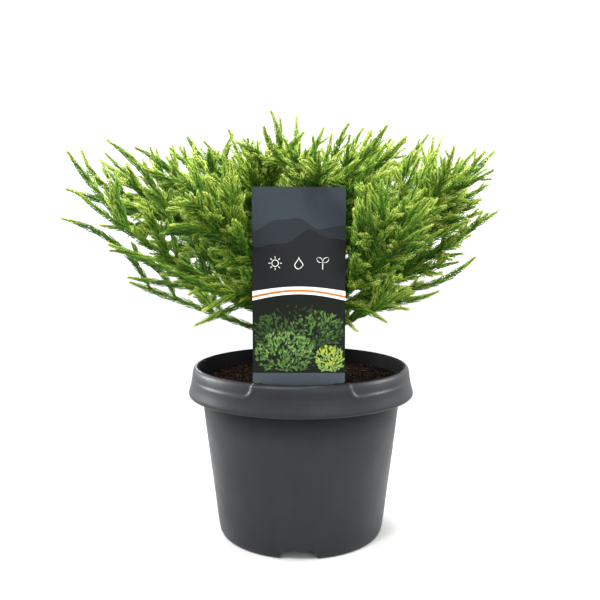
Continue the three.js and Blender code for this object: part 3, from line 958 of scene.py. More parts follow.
def drawIn(shoots):
    # the part's side shoots end where the closed foliage ends, and the few that lie under it are left out
    found = []
    first = cutting["fromJoint"]
    for shoot in shoots:
        points = shoot["line"].joints
        past = points[:, 2] < skirtHeight(points) - cutting["underSkirt"]
        past |= crownShareOf(points) > crown["closedShare"] - stayBack(points)
        past |= ~clearOfLabel(points, cutting["labelRoom"])
        keep = int(np.argmax(past[first:])) + first if past[first:].any() else len(points) - 1
        if keep >= cutting["fewestJoints"]:
            found.append({**shoot, "line": shoot["line"].cutAt(keep / (len(points) - 1))})
    return found


def nodTips(shoots):
    # tips inside the crown hook over, outwards and down, and those near its outline do so less
    dice = makeDice(nodding["seed"])
    for shoot in shoots:
        line = shoot["line"]
        tip = line.at(1)
        inner = 1 - (1 - nodding["outlineHang"]) * smoothStep(crownShareOf(tip), *nodding["fade"])
        outward = tip * (1, 1, 0) / (np.hypot(tip[0], tip[1]) + 1)
        hang = inner * dice(*nodding["hang"]) * min(line.length, nodding["longest"])
        nod = (outward * nodding["outward"] - up * nodding["down"]) * hang
        if clearOfLabel(tip + nod, shootRule["labelRoom"]):
            line.nodTo(nod)


partShoots = planShoots([], shells, reach=6.8, room=11)
print("side shoots as in the part:", len(partShoots))
sideShoots = drawIn(partShoots) + planSeenShoots()
placedCount = len(sideShoots)
planShoots(sideShoots, finerShells, reach=2.2, room=8, overSkirt=True)
nodTips(sideShoots[placedCount:])
print("with the finer ones:", len(sideShoots))


# Twiglets branch in turn from the leaders and the side shoots, and short tips from all of these
twigletRules = {
    "seed": 77,
    # by the parent's order: mm between two, the longest, the parent's share from which and to which they sit
    "twiglets": {0: (11, 44, 0.08, 0.78), 1: (12.5, 32, 0.18, 0.68)},
    "tips": {0: (17, 22, 0.5, 0.93), 1: (16, 20, 0.45, 0.9), 2: (20, 15, 0.35, 0.8)},
    "spread": {"twiglets": (28, 46), "tips": (30, 46)},  # degrees from the parent's heading
    "shortest": {"twiglets": 12, "tips": 5},
    "reach": {"twiglets": 0.95, "tips": 0.97},  # share of the crown's outline
    "under": {"twiglets": 2, "tips": 9},  # mm that they may hang under the closed foliage
    "lowest": 200,
    "firstStray": (0.8, 1.3),
    "gapStray": (0.7, 1.3),
    "lengthStray": (0.6, 1.15),
    "turn": 66,  # degrees either way from the parent's two sides
    "taper": 0.6,
    "ofParent": 0.7,  # the longest against the parent's own length
    "shorter": (1, 0.72, 0.5),  # tried in turn where there is no room
    "follow": 0.3,
    "rise": 0.1,
}


def planBranches(kind, parents, order, seed):
    dice = makeDice(seed)
    found = []
    rule = twigletRules
    for parent in parents:
        line = parent["line"]
        spacing, longest, first, last = rule[kind][parent["order"]]
        bare = parent.get("from", 0)
        share = bare + (1 - bare) * first * dice(*rule["firstStray"])
        side = 1
        while share < last:
            heading = line.heading(share)
            root = line.at(share)
            across = unit(np.cross(heading, up) if abs(heading[2]) < 0.95 else np.array([0.0, 1.0, 0.0]))
            above = np.cross(across, heading)
            turn = math.radians((0 if side > 0 else 180) + dice(-rule["turn"], rule["turn"]))
            outward = across * math.cos(turn) + above * math.sin(turn)
            spread = math.radians(dice(*rule["spread"][kind]))
            taper = 1 - rule["taper"] * (share - bare) / (1 - bare)
            length = min(longest * taper * dice(*rule["lengthStray"]), rule["ofParent"] * line.length)
            way = heading * math.cos(spread) + outward * math.sin(spread)
            share += spacing * dice(*rule["gapStray"]) / line.length
            side = -side
            for shorter in rule["shorter"]:
                reach = length * shorter
                if reach < rule["shortest"][kind]:
                    break
                bend = (heading * rule["follow"] + up * rule["rise"]) * reach
                tip = root + way * reach + bend * 0.6
                middle = root + (tip - root) * 0.6
                closed = crownShareOf(tip) < rule["reach"][kind] - stayBack(tip)
                closed = closed and tip[2] > max(skirtHeight(tip) - rule["under"][kind], rule["lowest"])
                if closed and clearOfLabel(np.array([tip, middle]), shootRule["labelRoom"]).all():
                    branch = Limb(root, tip - root - bend, bend)
                    found.append({"own": parent["own"], "line": branch, "order": order})
                    break
    return found


leaders = [
    {"own": i, "line": stem["line"], "order": 0, "from": stem["bare"] * 0.5 + 0.02}
    for i, stem in enumerate(stems)
]
twiglets = planBranches("twiglets", leaders + sideShoots, 2, twigletRules["seed"])
nodTips(twiglets)
shortTips = planBranches("tips", leaders + sideShoots + twiglets, 3, twigletRules["seed"] + 1)
print("twiglets:", len(twiglets), "short tips:", len(shortTips))


# Needles: awl-shaped and three-sided, bowed outwards, their points drawn in towards the tip of their shoot
needle = {
    "seed": 5,
    "turn": 142,  # degrees about the shoot from one to the next: five slowly twisting rows
    # on leaders, side shoots, twiglets and short tips
    "first": (0, 0.05, 0.05, 0.1),  # share of the shoot where they begin
    "perMm": (2.3, 2.3, 2.2, 2),
    "length": (9.4, 9, 8, 6.6),
    "openRoot": (34, 32, 29, 26),  # degrees from the shoot's heading, on its grown part
    "openTip": 13,
    "closer": 0.22,  # share by which needles lie closer on slender shoots
    # for shoots inside the crown, and for the slender ones that reach out of it
    "youngPart": (12, 30),  # mm at the tip, over which needles grow shorter and close in
    "tipShare": (0.6, 0.48),  # length of the last needles against the full length
    "fullness": (1, 0.86),
    "slenderFrom": (0.8, 0.97),  # share of the outline
    "slenderUnder": (-4, 8),  # mm under the closed foliage
    "openStray": 5,
    "lengthStray": (0.82, 1.12),
    "width": 1.6,
    "bellyAt": 0.4,
    "bow": 0.12,
    "mostTriangles": 196000,  # in one joined piece
}
# how pale a needle is, from 0 to 1: a tone of its shoot, its spray and its own, and what its place adds:
# painted light and shade by where it sits, and the paleness of young growth
tone = {
    "shoot": (0.235, 0.08),  # mean and stray
    "spray": 0.05,
    "sprayLength": 8,
    "own": 0.04,
    # painted shade inside the crown, paler towards its outline; then painted light at the top and painted
    # fill light at the crown's foot
    "outer": 0.12,
    "high": (0.07, 295, 385),  # at the top, and the heights over which it sets in
    "low": (0.12, 300, 225),  # at the foot of the crown, in the same way
    "young": 0.29,  # towards the shoot's tip
    "youngOuter": 0.1,  # and this much more on the outline
    "youngLength": 24,
    # painted light from above: paler on a shoot's upper side, darker on its underside
    "paintedTopLight": 0.12,
    "bronzeShare": 0.006,  # of the twiglets, each from this share of its length
    "bronzeFrom": 0.6,
}
# screen colours from the shaded inside to the palest tips, and the rare bronze sprig
greens = [
    ("NeedleShade", "#294a0c"),
    ("NeedleDeep", "#375e14"),
    ("NeedleMoss", "#4f771d"),
    ("NeedleLeaf", "#6c8c2b"),
    ("NeedleFresh", "#859f38"),
    ("NeedleBright", "#9db147"),
    ("NeedleTip", "#b1c258"),
    ("NeedlePaleTip", "#c1ce74"),
    ("NeedleBronze", "#8a7434"),
]
bronze = len(greens) - 1


def shootFrames(line, shares, turns):
    # heading and outward direction at each share, turned about the shoot
    heading = line.heading(shares)
    first = line.heading(0.0)
    across = unit(np.cross(first, up) if abs(first[2]) < 0.95 else np.array([1.0, 0.0, 0.0]))
    side = unit(across - heading * (heading @ across)[:, None])
    other = np.cross(heading, side)
    outward = side * np.cos(turns)[:, None] + other * np.sin(turns)[:, None]
    return heading, outward


def planNeedles(shoots, draws):
    # roots, headings, outward directions, openings, lengths, tones and owners of all needles, shoot by shoot
    columns = []
    for shoot in shoots:
        line, order = shoot["line"], shoot["order"]
        first = shoot.get("from", needle["first"][order])
        leafy = line.length * (1 - first)
        count = max(5, int(leafy * needle["perMm"][order]))
        along = np.clip((np.arange(count) + draws.uniform(-0.3, 0.3, count)) / count, 0, 1)
        shares = first + (1 - first) * along
        turns = np.radians(needle["turn"]) * np.arange(count) + draws.uniform(-0.2, 0.2, count)
        heading, outward = shootFrames(line, shares, turns)
        tip = line.at(1)
        slender = max(
            smoothStep(crownShareOf(tip), *needle["slenderFrom"]),
            smoothStep(skirtHeight(tip) - tip[2], *needle["slenderUnder"]),
        )
        youngPart, tipShare, fullness = (
            lerp(*needle[name], slender) for name in ("youngPart", "tipShare", "fullness")
        )
        toTip = (1 - along) * leafy
        grown = smoothStep(toTip, 0, youngPart)
        widest = needle["openRoot"][order] * (1 - needle["closer"] * slender)
        stray = draws.uniform(-needle["openStray"], needle["openStray"], count)
        opening = np.radians(lerp(needle["openTip"], widest, grown) + stray)
        length = needle["length"][order] * fullness * lerp(tipShare, 1, grown)
        length = length * draws.uniform(*needle["lengthStray"], count)
        roots = line.at(shares) + outward * 0.3
        # painted light and shade: paler outwards, upwards, on upper sides and again at the foot of the crown;
        # paler towards the tip, which is the young growth's own colour
        outer = np.clip((crownShareOf(roots) - 0.4) / 0.6, 0, 1)
        high, highFrom, highTo = tone["high"]
        low, lowFrom, lowTo = tone["low"]
        young = np.clip(1 - toTip / tone["youngLength"], 0, 1) ** 1.2
        spray = (along * leafy / tone["sprayLength"]).astype(int)
        score = shoot["tint"] + tone["outer"] * outer ** 1.5
        score += high * smoothStep(roots[:, 2], highFrom, highTo)
        score += low * smoothStep(roots[:, 2], lowFrom, lowTo)
        score += draws.normal(0, tone["spray"], spray.max() + 1)[spray]
        score += young * (tone["young"] + tone["youngOuter"] * outer)
        score += tone["paintedTopLight"] * outward[:, 2] + draws.normal(0, tone["own"], count)
        green = np.clip((score * bronze).astype(int), 0, bronze - 1)
        if shoot["bronze"]:
            green = np.where(along > tone["bronzeFrom"], bronze, green)
        columns.append((roots, heading, outward, opening, length, green, np.full(count, shoot["own"])))
    return [np.concatenate(column) for column in zip(*columns)]


needleFaces = np.array([[0, 2, 1], [0, 3, 2], [0, 1, 3], [4, 1, 2], [4, 2, 3], [4, 3, 1]])


def growNeedles(roots, heading, outward, opening, length):
    # five corners and six faces for each needle: its root, three corners round its belly, and its point
    across = np.cross(heading, outward)
    cos, sin = np.cos(opening)[:, None], np.sin(opening)[:, None]
    way = heading * cos + outward * sin
    rise = outward * cos - heading * sin
    length = length[:, None]
    width = needle["width"] * lerp(0.7, 1, length / needle["length"][0])
    belly = roots + way * length * needle["bellyAt"] + rise * length * needle["bow"]
    corners = [
        roots,
        belly + across * width * 0.5 - rise * width * 0.15,
        belly - across * width * 0.5 - rise * width * 0.15,
        belly + rise * width * 0.38,
        roots + way * length,
    ]
    points = np.stack(corners, axis=1).reshape(-1, 3)
    triangles = (needleFaces[None] + len(corners) * np.arange(len(roots))[:, None, None]).reshape(-1, 3)
    return points, triangles


def pieceFromArrays(name, points, triangles, materials, tones=None, smooth=True):
    # a mesh of triangles from points in mm, with a material number for each triangle
    mesh = bpy.data.meshes.new(name)
    mesh.vertices.add(len(points))
    mesh.vertices.foreach_set("co", (points * mm).astype(np.float32).ravel())
    mesh.loops.add(triangles.size)
    mesh.loops.foreach_set("vertex_index", triangles.astype(np.int32).ravel())
    mesh.polygons.add(len(triangles))
    mesh.polygons.foreach_set("loop_start", np.arange(0, triangles.size, 3, dtype=np.int32))
    if tones is not None:
        mesh.polygons.foreach_set("material_index", tones.astype(np.int32))
    mesh.polygons.foreach_set("use_smooth", np.full(len(triangles), smooth))
    for material in materials:
        mesh.materials.append(material)
    mesh.update(calc_edges=True)
    piece = bpy.data.objects.new(name, mesh)
    bpy.context.collection.objects.link(piece)
    return piece


def dealOut(loads, most):
    # the numbers of the loads in turn, in groups that carry no more than this
    groups, current = [], []
    for number in range(len(loads)):
        if sum(loads[i] for i in current) + loads[number] > most:
            groups.append(current)
            current = []
        current.append(number)
    return groups + [current]


def makeNeedles():
    draws = np.random.default_rng(needle["seed"])
    for shoot in allShoots:
        shoot["tint"] = draws.normal(*tone["shoot"])
        shoot["bronze"] = draws.random() < tone["bronzeShare"] and shoot["order"] == 2
    *needles, owners = planNeedles(allShoots, draws)
    print("needles:", len(owners))
    materials = [newMaterial(name, color, 0.48, 0.14) for name, color in greens]
    loads = np.bincount(owners, minlength=len(stems)) * len(needleFaces)
    for number, group in enumerate(dealOut(loads, needle["mostTriangles"]), 1):
        kept = np.isin(owners, group)
        *shapes, green = [column[kept] for column in needles]
        tones = np.repeat(green, len(needleFaces))
        piece = pieceFromArrays(f"needle_sprays_{number}", *growNeedles(*shapes), materials, tones)
        finishPiece(piece, [stems[own]["node"] for own in group])


allShoots = leaders + sideShoots + twiglets + shortTips
makeNeedles()
print("needles are out")


# Twig wood and bark: each limb is a tube, ridged on the trunk and boughs, brown at its foot and green where
# needles sit
bark = {
    "seed": 9,
    "boughRadius": 3.4,
    "boughTipRadius": 2.2,
    "boughSides": 14,
    "boughSteps": 22,
    "onward": (0.12, 1.6),  # share of the leader that a bough runs on into the foliage, and its radius there
    "boughRidges": 0.07,  # share of the radius
    # of leaders, side shoots, twiglets and short tips
    "rootRadius": (2.2, 1.6, 1.3, 1),
    "tipRadius": (0.8, 0.6, 0.6, 0.6),
    "sides": (5, 4, 3, 3),
    "steps": (12, 8, 4, 2),
    "tanUpTo": (0.3, 0.12, 0, 0),  # share of the length
    "tanInside": 0.6,  # share of the outline
    "trunkSides": 40,
    "trunkSteps": 46,
    "trunkPoint": 0.6,  # mm from the last ring to the tip
    "flareFade": 14,  # how soon the root flare ends
    "rootLobes": 4.2,  # mm that they stand out
    "trunkRidges": 1.1,
}


def growTube(line, first, last, radiusAt, sides, steps, ridge=None):
    # points and triangles of a tube round a limb, closed at both ends
    shares = np.linspace(first, last, steps + 1)
    turns = 2 * np.pi * np.arange(sides) / sides
    middle = line.at(shares)
    heading, side = shootFrames(line, shares, np.zeros(steps + 1))
    other = np.cross(heading, side)
    spokes = np.cos(turns)[:, None] * side[:, None] + np.sin(turns)[:, None] * other[:, None]
    radius = np.array([radiusAt(share) for share in shares])[:, None]
    if ridge is not None:
        radius = radius * (1 + ridge)
    rings = middle[:, None] + spokes * np.broadcast_to(radius, (steps + 1, sides))[..., None]
    points = np.concatenate([rings.reshape(-1, 3), middle[:1], middle[-1:]])
    around = np.arange(sides)
    after = (around + 1) % sides
    start = np.arange(steps)[:, None] * sides
    a, b = start + around, start + after
    foot, tip = len(points) - 2, len(points) - 1
    base = steps * sides
    faces = [
        (a, b, b + sides),
        (a, b + sides, a + sides),
        (np.full(sides, foot), after, around),
        (np.full(sides, tip), base + around, base + after),
    ]
    return points, np.concatenate([np.stack(corners, -1).reshape(-1, 3) for corners in faces])


def joinShapes(shapes):
    points, triangles, start = [], [], 0
    for shapePoints, shapeTriangles in shapes:
        points.append(shapePoints)
        triangles.append(shapeTriangles + start)
        start += len(shapePoints)
    return np.concatenate(points), np.concatenate(triangles)


def makeTrunk():
    # drawn up ring by ring along its lean, then given root lobes and ridges by painted groups
    steps, foot = bark["trunkSteps"], trunk["foot"]
    rings = []
    for j in range(steps + 1):
        share = (j / steps) ** 1.35
        flare = trunk["flare"] * math.exp(-bark["flareFade"] * share)
        rings.append((trunkLine.at(share), lerp(trunk["radius"], trunk["tipRadius"], share) + flare))
    piece = drawRings("trunk_bark", rings, bark["trunkSides"])
    drawToPoint(bark["trunkPoint"])
    soilLevel = (foot + 0.01) * mm
    selectEdges(piece, lambda a, b: max(a.z, b.z) < soilLevel)
    bpy.ops.mesh.edge_face_add()
    closeSolid()

    def shareUp(place):
        return (place.z / mm - foot) / trunk["height"]

    def rootLobes(place):
        around = math.atan2(place.y, place.x)
        return math.exp(-bark["flareFade"] * shareUp(place)) * (0.5 + 0.5 * math.cos(3 * around))

    def ridges(place):
        leanX, leanY, _ = (c * shareUp(place) ** 2 for c in trunk["lean"])
        around = math.atan2(place.y / mm - leanY, place.x / mm - leanX)
        x, y, z = math.cos(around), math.sin(around), place.z / mm
        strip = noise.noise(Vector((2.6 * x, 2.6 * y, z / 34)))
        fine = noise.noise(Vector((7 * x, 7 * y, z / 11)))
        return 0.5 + 0.6 * strip + 0.5 * fine

    displace(piece, "rootLobes", rootLobes, "NORMAL", bark["rootLobes"])
    displace(piece, "barkRidges", ridges, "NORMAL", bark["trunkRidges"])
    # the foot stays level on the soil
    for vertex in piece.data.vertices:
        if vertex.co.z < (foot + 0.6) * mm:
            vertex.co.z = foot * mm
    piece.vertex_groups.clear()
    piece.data.materials.append(barkMaterial("TrunkBark", 1))
    finishPiece(piece, ["trunk"], 60)


def barkMaterial(name, coarse):
    # reddish brown bark in upright fibres, greyer on its ridges
    material = newMaterial(name, "#6b4a35", 0.86, 0.25)
    board = NodeBoard(material)
    fibre = board.noise(1, 5, 0.65, board.stretched((520 * coarse, 520 * coarse, 46 * coarse)))
    brown = board.ramp(fibre, [(0.3, "#2f2018"), (0.5, "#573b29"), (0.72, "#7d5b41")])
    grey = board.ramp(fibre, [(0.3, "#3b3028"), (0.72, "#83725f")])
    board.feed("Base Color", board.mix(board.spread(board.noise(70), 0, 0.8, 0.4, 0.65), brown, grey))
    board.feed("Roughness", board.spread(fibre, 0.78, 0.95))
    board.bump(fibre, 0.0008, 0.7)
    return material


def makeBoughs():
    # each runs on into the foliage as the leader's own wood
    tubes, nodes = [], []
    draws = np.random.default_rng(bark["seed"])
    steps, sides = bark["boughSteps"], bark["boughSides"]
    onward, endRadius = bark["onward"]
    for stem in stems:
        if not stem["bough"]:
            continue
        bare = stem["bare"]
        rough = draws.normal(0, 1, (steps + 1, sides))
        rough = (rough + np.roll(rough, 1, 0) + np.roll(rough, -1, 0)) / 3

        def radiusAt(share):
            if share < bare:
                return lerp(bark["boughRadius"], bark["boughTipRadius"], share / bare)
            return lerp(bark["boughTipRadius"], endRadius, (share - bare) / onward)

        ridge = bark["boughRidges"] * rough
        tubes.append(growTube(stem["line"], 0.0, bare + onward, radiusAt, sides, steps, ridge))
        nodes.append(stem["bough"])
    piece = pieceFromArrays("bough_bark", *joinShapes(tubes), [barkMaterial("BoughBark", 1.3)])
    finishPiece(piece, nodes)


def makeTwigs():
    # the core that the needles stand on, green, and tan at its root inside the crown
    tubes, tones = [], []
    for shoot in allShoots:
        line, order, first = shoot["line"], shoot["order"], shoot.get("from", 0)
        root, tip = bark["rootRadius"][order], bark["tipRadius"][order]

        def radiusAt(share):
            return lerp(root, tip, (share - first) / (1 - first))

        points, triangles = growTube(line, first, 1, radiusAt, bark["sides"][order], bark["steps"][order])
        tubes.append((points, triangles))
        middle = points[triangles].mean(1)
        along = ((middle - line.start) @ line.heading(0.5)) / line.length
        tan = (along < bark["tanUpTo"][order]) & (order < 2) & (crownShareOf(middle) < bark["tanInside"])
        tones.append(tan)
    materials = [newMaterial("TwigGreen", "#4c7218", 0.6, 0.2), newMaterial("TwigTan", "#4c4a1e", 0.8, 0.2)]
    piece = pieceFromArrays("leafy_twigs", *joinShapes(tubes), materials, np.concatenate(tones))
    finishPiece(piece)


makeTrunk()
makeBoughs()
makeTwigs()
print("wood has grown")


# Soil: fills the pot, with crumbs and wood flecks strewn on it
soil = {
    "seed": 31,
    "sides": 160,
    "relief": 1.3,
    "reliefOver": 156,  # height over which the surface is uneven
    "reliefFrom": (16, 24),  # and the distances from the axis over which it sets in, round the trunk's foot
    # size of the lumps in mm, where their pattern is cut and how much they count
    "lumps": ((16, 3, 0.55), (6, 9, 0.4), (2.4, 1, 0.25)),
    # distance and height of the strewn surface: level in the middle, lower at the wall
    "surface": [
        (0, 159), (60, 158.85), (87, 158.3), (94.4, 157.7), (97.4, 157.3), (99.7, 156.9), (101, 156.2),
    ],
    "strewn": (17, 99.6),
    "raised": 0.2,
    # how many, their half sizes in mm, how far they tip over, and the numbers of their tones
    "crumbs": (3600, ((0.45, 1.5), (0.45, 1.3), (0.35, 1.0)), 1.0, (0, 1, 1, 2, 2, 3)),
    "flecks": (520, ((1.4, 3.6), (0.25, 0.6), (0.15, 0.35)), 0.12, (2, 3, 4, 4, 5)),
    "tones": ["#050302", "#0a0604", "#170f0a", "#2c1b11", "#49301f", "#6c4f37"],
}
soilProfile = [
    (20, 3.4), (57, 3.4), (61, 10), (62, 11.4), (82, 11.4), (83.5, 14), (87.2, 45), (91, 78), (94.8, 112),
    (98, 141), (99.1, 144), (100.4, 150.5), (101.3, 155.2), (101, 156.2), (99.7, 156.9), (97.4, 157.3),
    (94.4, 157.7), (91, 158), (87, 158.3), (82, 158.5), (77, 158.6), (71.5, 158.7), (66, 158.8),
    (60, 158.85), (54, 158.9), (48, 158.9), *((radius, 159) for radius in range(42, 0, -6)),
]


def soilRelief(x, y):
    relief = 0.5
    for size, level, weight in soil["lumps"]:
        relief += noise.noise(Vector((x / size, y / size, level))) * weight
    return relief


def makeSoil():
    piece = turnSolid("potting_soil", soilProfile, soil["sides"])
    openMesh(piece, "EDGE")
    selectFaces(piece, lambda middle, normal: middle.z > 155.5 * mm and middle.xy.length > 8 * mm)
    bpy.ops.mesh.subdivide(number_cuts=1)
    closeMesh()

    def reliefWeight(place):
        if place.z < soil["reliefOver"] * mm:
            return 0
        x, y = place.x / mm, place.y / mm
        return soilRelief(x, y) * float(smoothStep(math.hypot(x, y), *soil["reliefFrom"])) + 0.001

    displace(piece, "relief", reliefWeight, "Z", soil["relief"])
    piece.vertex_groups.clear()
    piece.data.materials.append(peatMaterial())
    finishPiece(piece, ["soil"], 70)


def peatMaterial():
    # nearly black crumbs, browner in patches
    material = newMaterial("Peat", "#0e0805", 0.95, 0.02)
    board = NodeBoard(material)
    fine = board.noise(900, 5, 0.7)
    dark = board.ramp(fine, [(0.32, "#040302"), (0.55, "#0c0806"), (0.74, "#21150e")])
    warm = board.ramp(fine, [(0.3, "#080504"), (0.58, "#170e09"), (0.78, "#3d2618")])
    board.feed("Base Color", board.mix(board.spread(board.noise(60), 0, 1, 0.42, 0.62), dark, warm))
    board.feed("Roughness", board.spread(fine, 0.85, 1))
    lumps = board.bump(board.cells(260), 0.0012, 0.6)
    board.bump(fine, 0.0008, 0.8, lumps)
    return material


def scatterOnSoil(count, draws):
    nearest, furthest = soil["strewn"]
    radius = np.sqrt(draws.uniform(nearest ** 2, furthest ** 2, count))
    around = draws.uniform(0, 2 * np.pi, count)
    x, y = radius * np.cos(around), radius * np.sin(around)
    relief = np.array([soilRelief(a, b) for a, b in zip(x, y)]) * soil["relief"]
    level = np.interp(np.hypot(x, y), *zip(*soil["surface"]))
    return np.stack([x, y, level + relief], -1)


def turnAbout(axis, angles):
    # one turning frame about x, y or z (0, 1 or 2) for each angle
    frames = np.zeros((len(angles), 3, 3))
    first, second = (axis + 1) % 3, (axis + 2) % 3
    frames[:, axis, axis] = 1
    frames[:, first, first] = frames[:, second, second] = np.cos(angles)
    frames[:, second, first] = np.sin(angles)
    frames[:, first, second] = -np.sin(angles)
    return frames


def strewCrumbs():
    # one lump, modelled once, then strewn with its own size, turn and tone
    draws = np.random.default_rng(soil["seed"])
    bpy.ops.mesh.primitive_ico_sphere_add(subdivisions=1, radius=1)
    lump = bpy.context.object
    corners = np.array([v.co for v in lump.data.vertices])
    corners *= draws.uniform(0.7, 1.15, (len(corners), 1))
    faces = np.array([tuple(face.vertices) for face in lump.data.polygons])
    bpy.data.objects.remove(lump)
    shapes, tones = [], []
    for count, sizes, tipping, toneNumbers in (soil["crumbs"], soil["flecks"]):
        places = scatterOnSoil(count, draws)
        size = np.stack([draws.uniform(low, high, count) for low, high in sizes], -1)
        yaw, tip, roll = (draws.uniform(-np.pi, np.pi, count) * share for share in (1, tipping, tipping))
        turns = turnAbout(2, yaw) @ turnAbout(1, tip) @ turnAbout(0, roll)
        points = (corners[None] * size[:, None]) @ turns.transpose(0, 2, 1) + places[:, None]
        points[..., 2] += soil["raised"]
        triangles = faces[None] + len(corners) * np.arange(count)[:, None, None]
        shapes.append((points.reshape(-1, 3), triangles.reshape(-1, 3)))
        tones.append(np.repeat(draws.choice(toneNumbers, count), len(faces)))
    materials = [newMaterial(f"Crumb{i}", color, 0.95, 0.02) for i, color in enumerate(soil["tones"], 1)]
    piece = pieceFromArrays("soil_crumbs", *joinShapes(shapes), materials, np.concatenate(tones))
    finishPiece(piece)


makeSoil()
strewCrumbs()
print("soil is strewn")


# Plant label: a coated card with a printed front, in a generic design without words
labelPrint = {
    "seed": 17,
    "cardColor": "#17181a",
    "inks": {
        "sky": "#30383f",
        "farHills": "#24292f",
        "white": "#eeeeec",
        "orange": "#bd6c26",
        "strip": "#3d454c",
        "leafGround": "#091007",
        "leaf0": "#14230f",
        "leaf1": "#233917",
        "leaf2": "#365124",
        "leaf3": "#4d6d31",
        "leaf4": "#678747",
        "leaf5": "#93a535",
        "leaf6": "#2b1d15",
    },
    "edge": 0.12,
    "shoulder": (33, 27, 3.8),  # half widths over and under, and the height, in mm
    "stemTaper": 0.45,
    # in mm over the card's foot: the picture, the white band with an orange line, and two ranges of hills
    "pictureFoot": 9.5,
    "pictureTop": 72,
    "arch": 6.5,
    "archTurn": 1.45,
    "bandFoot": 74,
    "bandTop": 82.5,
    "orangeLine": (2.2, 4.1),
    "nearHills": (129, (6.5, 13, 0.6), (2.2, 5.1, 0)),  # height, then size, length and start of each wave
    "farHills": (143, (5, 10.5, 2.4), (1.4, 4.3, 1)),
    # middle and half sizes in mm, leaves, and the first and last tone of each bush, from back to front
    "bushes": [
        (0, 38, 42, 34, 420, 0, 1), (16, 48, 25, 18, 260, 1, 3), (-24, 46, 17, 17, 170, 1, 2),
        (-12, 27, 27, 20, 430, 2, 4), (28, 22, 13, 13, 190, 4, 5),
    ],
    "brownShare": 0.12,  # of the leaves in the bush furthest back
    "leafLength": (2.4, 4.2),
    "leafWidth": (0.5, 0.95),
    "leafShape": (0.12, 0.8, 1, 0.6, 0.08),  # half widths from the foot to the point
    "signHeight": 108,
    "signGap": 21,
    "signLine": 0.55,
    "signLift": 0.04,
}


def makeCard():
    # the card with its corners rounded, the shoulder under it, and the stem that is pushed into the soil
    def plateAt(width, thinner, height, z):
        size = (width, card["thickness"] * thinner, height)
        return makeBlock(size, (card["offset"], -card["distance"], z))

    def openFoot(block):
        openMesh(block)
        selectFaces(block, lambda middle, normal: normal.z < -0.9)

    piece = plateAt(card["width"], 1, card["height"], card["bottom"] + card["height"] / 2)
    piece.name = "label_card"
    openMesh(piece, "EDGE")
    selectEdges(piece, lambda a, b: abs(a.x - b.x) < 0.1 * mm and abs(a.z - b.z) < 0.1 * mm)
    bpy.ops.mesh.bevel(offset=card["corner"] * mm, segments=6)
    closeMesh()
    stem = plateAt(card["stemWidth"], 0.98, 8, card["bottom"] + 4)
    openFoot(stem)
    drop = (0, card["stemLean"] * card["stemLength"] * mm, -card["stemLength"] * mm)
    bpy.ops.mesh.extrude_region_move(TRANSFORM_OT_translate={"value": drop})
    bpy.ops.transform.resize(value=(labelPrint["stemTaper"], 1, 1))
    closeMesh()
    combine(piece, stem, "UNION")
    wide, narrow, height = labelPrint["shoulder"]
    middle = 3 * wide - narrow
    shoulder = plateAt(middle, 0.96, 2 * height, card["bottom"])
    openFoot(shoulder)
    bpy.ops.transform.resize(value=(2 * narrow / middle, 1, 1))
    closeMesh()
    combine(piece, shoulder, "UNION")
    applyModifier(
        piece, "BEVEL", width=labelPrint["edge"] * mm, segments=2, limit_method="ANGLE",
        angle_limit=math.radians(50),
    )
    piece.data.materials.append(coatedCard("LabelCard", labelPrint["cardColor"]))
    finishPiece(piece, ["plant_label"], 40)


def coatedCard(name, color):
    # printing ink on coated card: nearly even, with a faint fibre in its tone and sheen
    material = newMaterial(name, color, 0.42, 0.16)
    board = NodeBoard(material)
    darker, lighter = ([min(share * gain, 1) for share in hexColor(color)] for gain in (0.93, 1.07))
    board.feed("Base Color", board.ramp(board.noise(700), [(0.3, darker), (0.7, lighter)]))
    board.feed("Roughness", board.spread(board.noise(90, 2), 0.38, 0.47))
    return material


def plate(first, second, lift, closed=False):
    # a thin printed plate between two rails of x and z on the card, its face this far in front of the card
    count = len(first)
    face = -(card["distance"] + card["thickness"] / 2 + lift)
    back = -(card["distance"] + card["thickness"] / 2 - 0.1)
    layers = []
    for depth in (face, back):
        for rail in (first, second):
            x, z = rail[:, 0] + card["offset"], rail[:, 1] + card["bottom"]
            layers.append(np.stack([x, np.full(count, depth), z], -1))
    points = np.concatenate(layers)
    steps = np.arange(count if closed else count - 1)
    after = (steps + 1) % count
    a, b, c, d = 0, count, 2 * count, 3 * count

    def band(low, high):
        p, q, r, s = low + steps, low + after, high + after, high + steps
        return [np.stack([p, q, r], -1), np.stack([p, r, s], -1)]

    faces = band(a, b) + band(d, c) + band(c, a) + band(b, d)
    if not closed:
        for i, turn in ((0, 1), (count - 1, -1)):
            p, q, r, s = a + i, b + i, d + i, c + i
            faces.append(np.array([[p, q, r], [p, r, s]])[:, ::turn])
    return points, np.concatenate(faces)


def evenTurns(count, first=0.0):
    # even turns, from the first one on
    return np.linspace(first, 2 * math.pi, count, endpoint=False)


def wayAndSide(angle):
    cos, sin = math.cos(angle), math.sin(angle)
    return np.array([cos, sin]), np.array([-sin, cos])


def hillLine(xs, height, *waves):
    return height + sum(size * np.sin(xs / length + start) for size, length, start in waves)


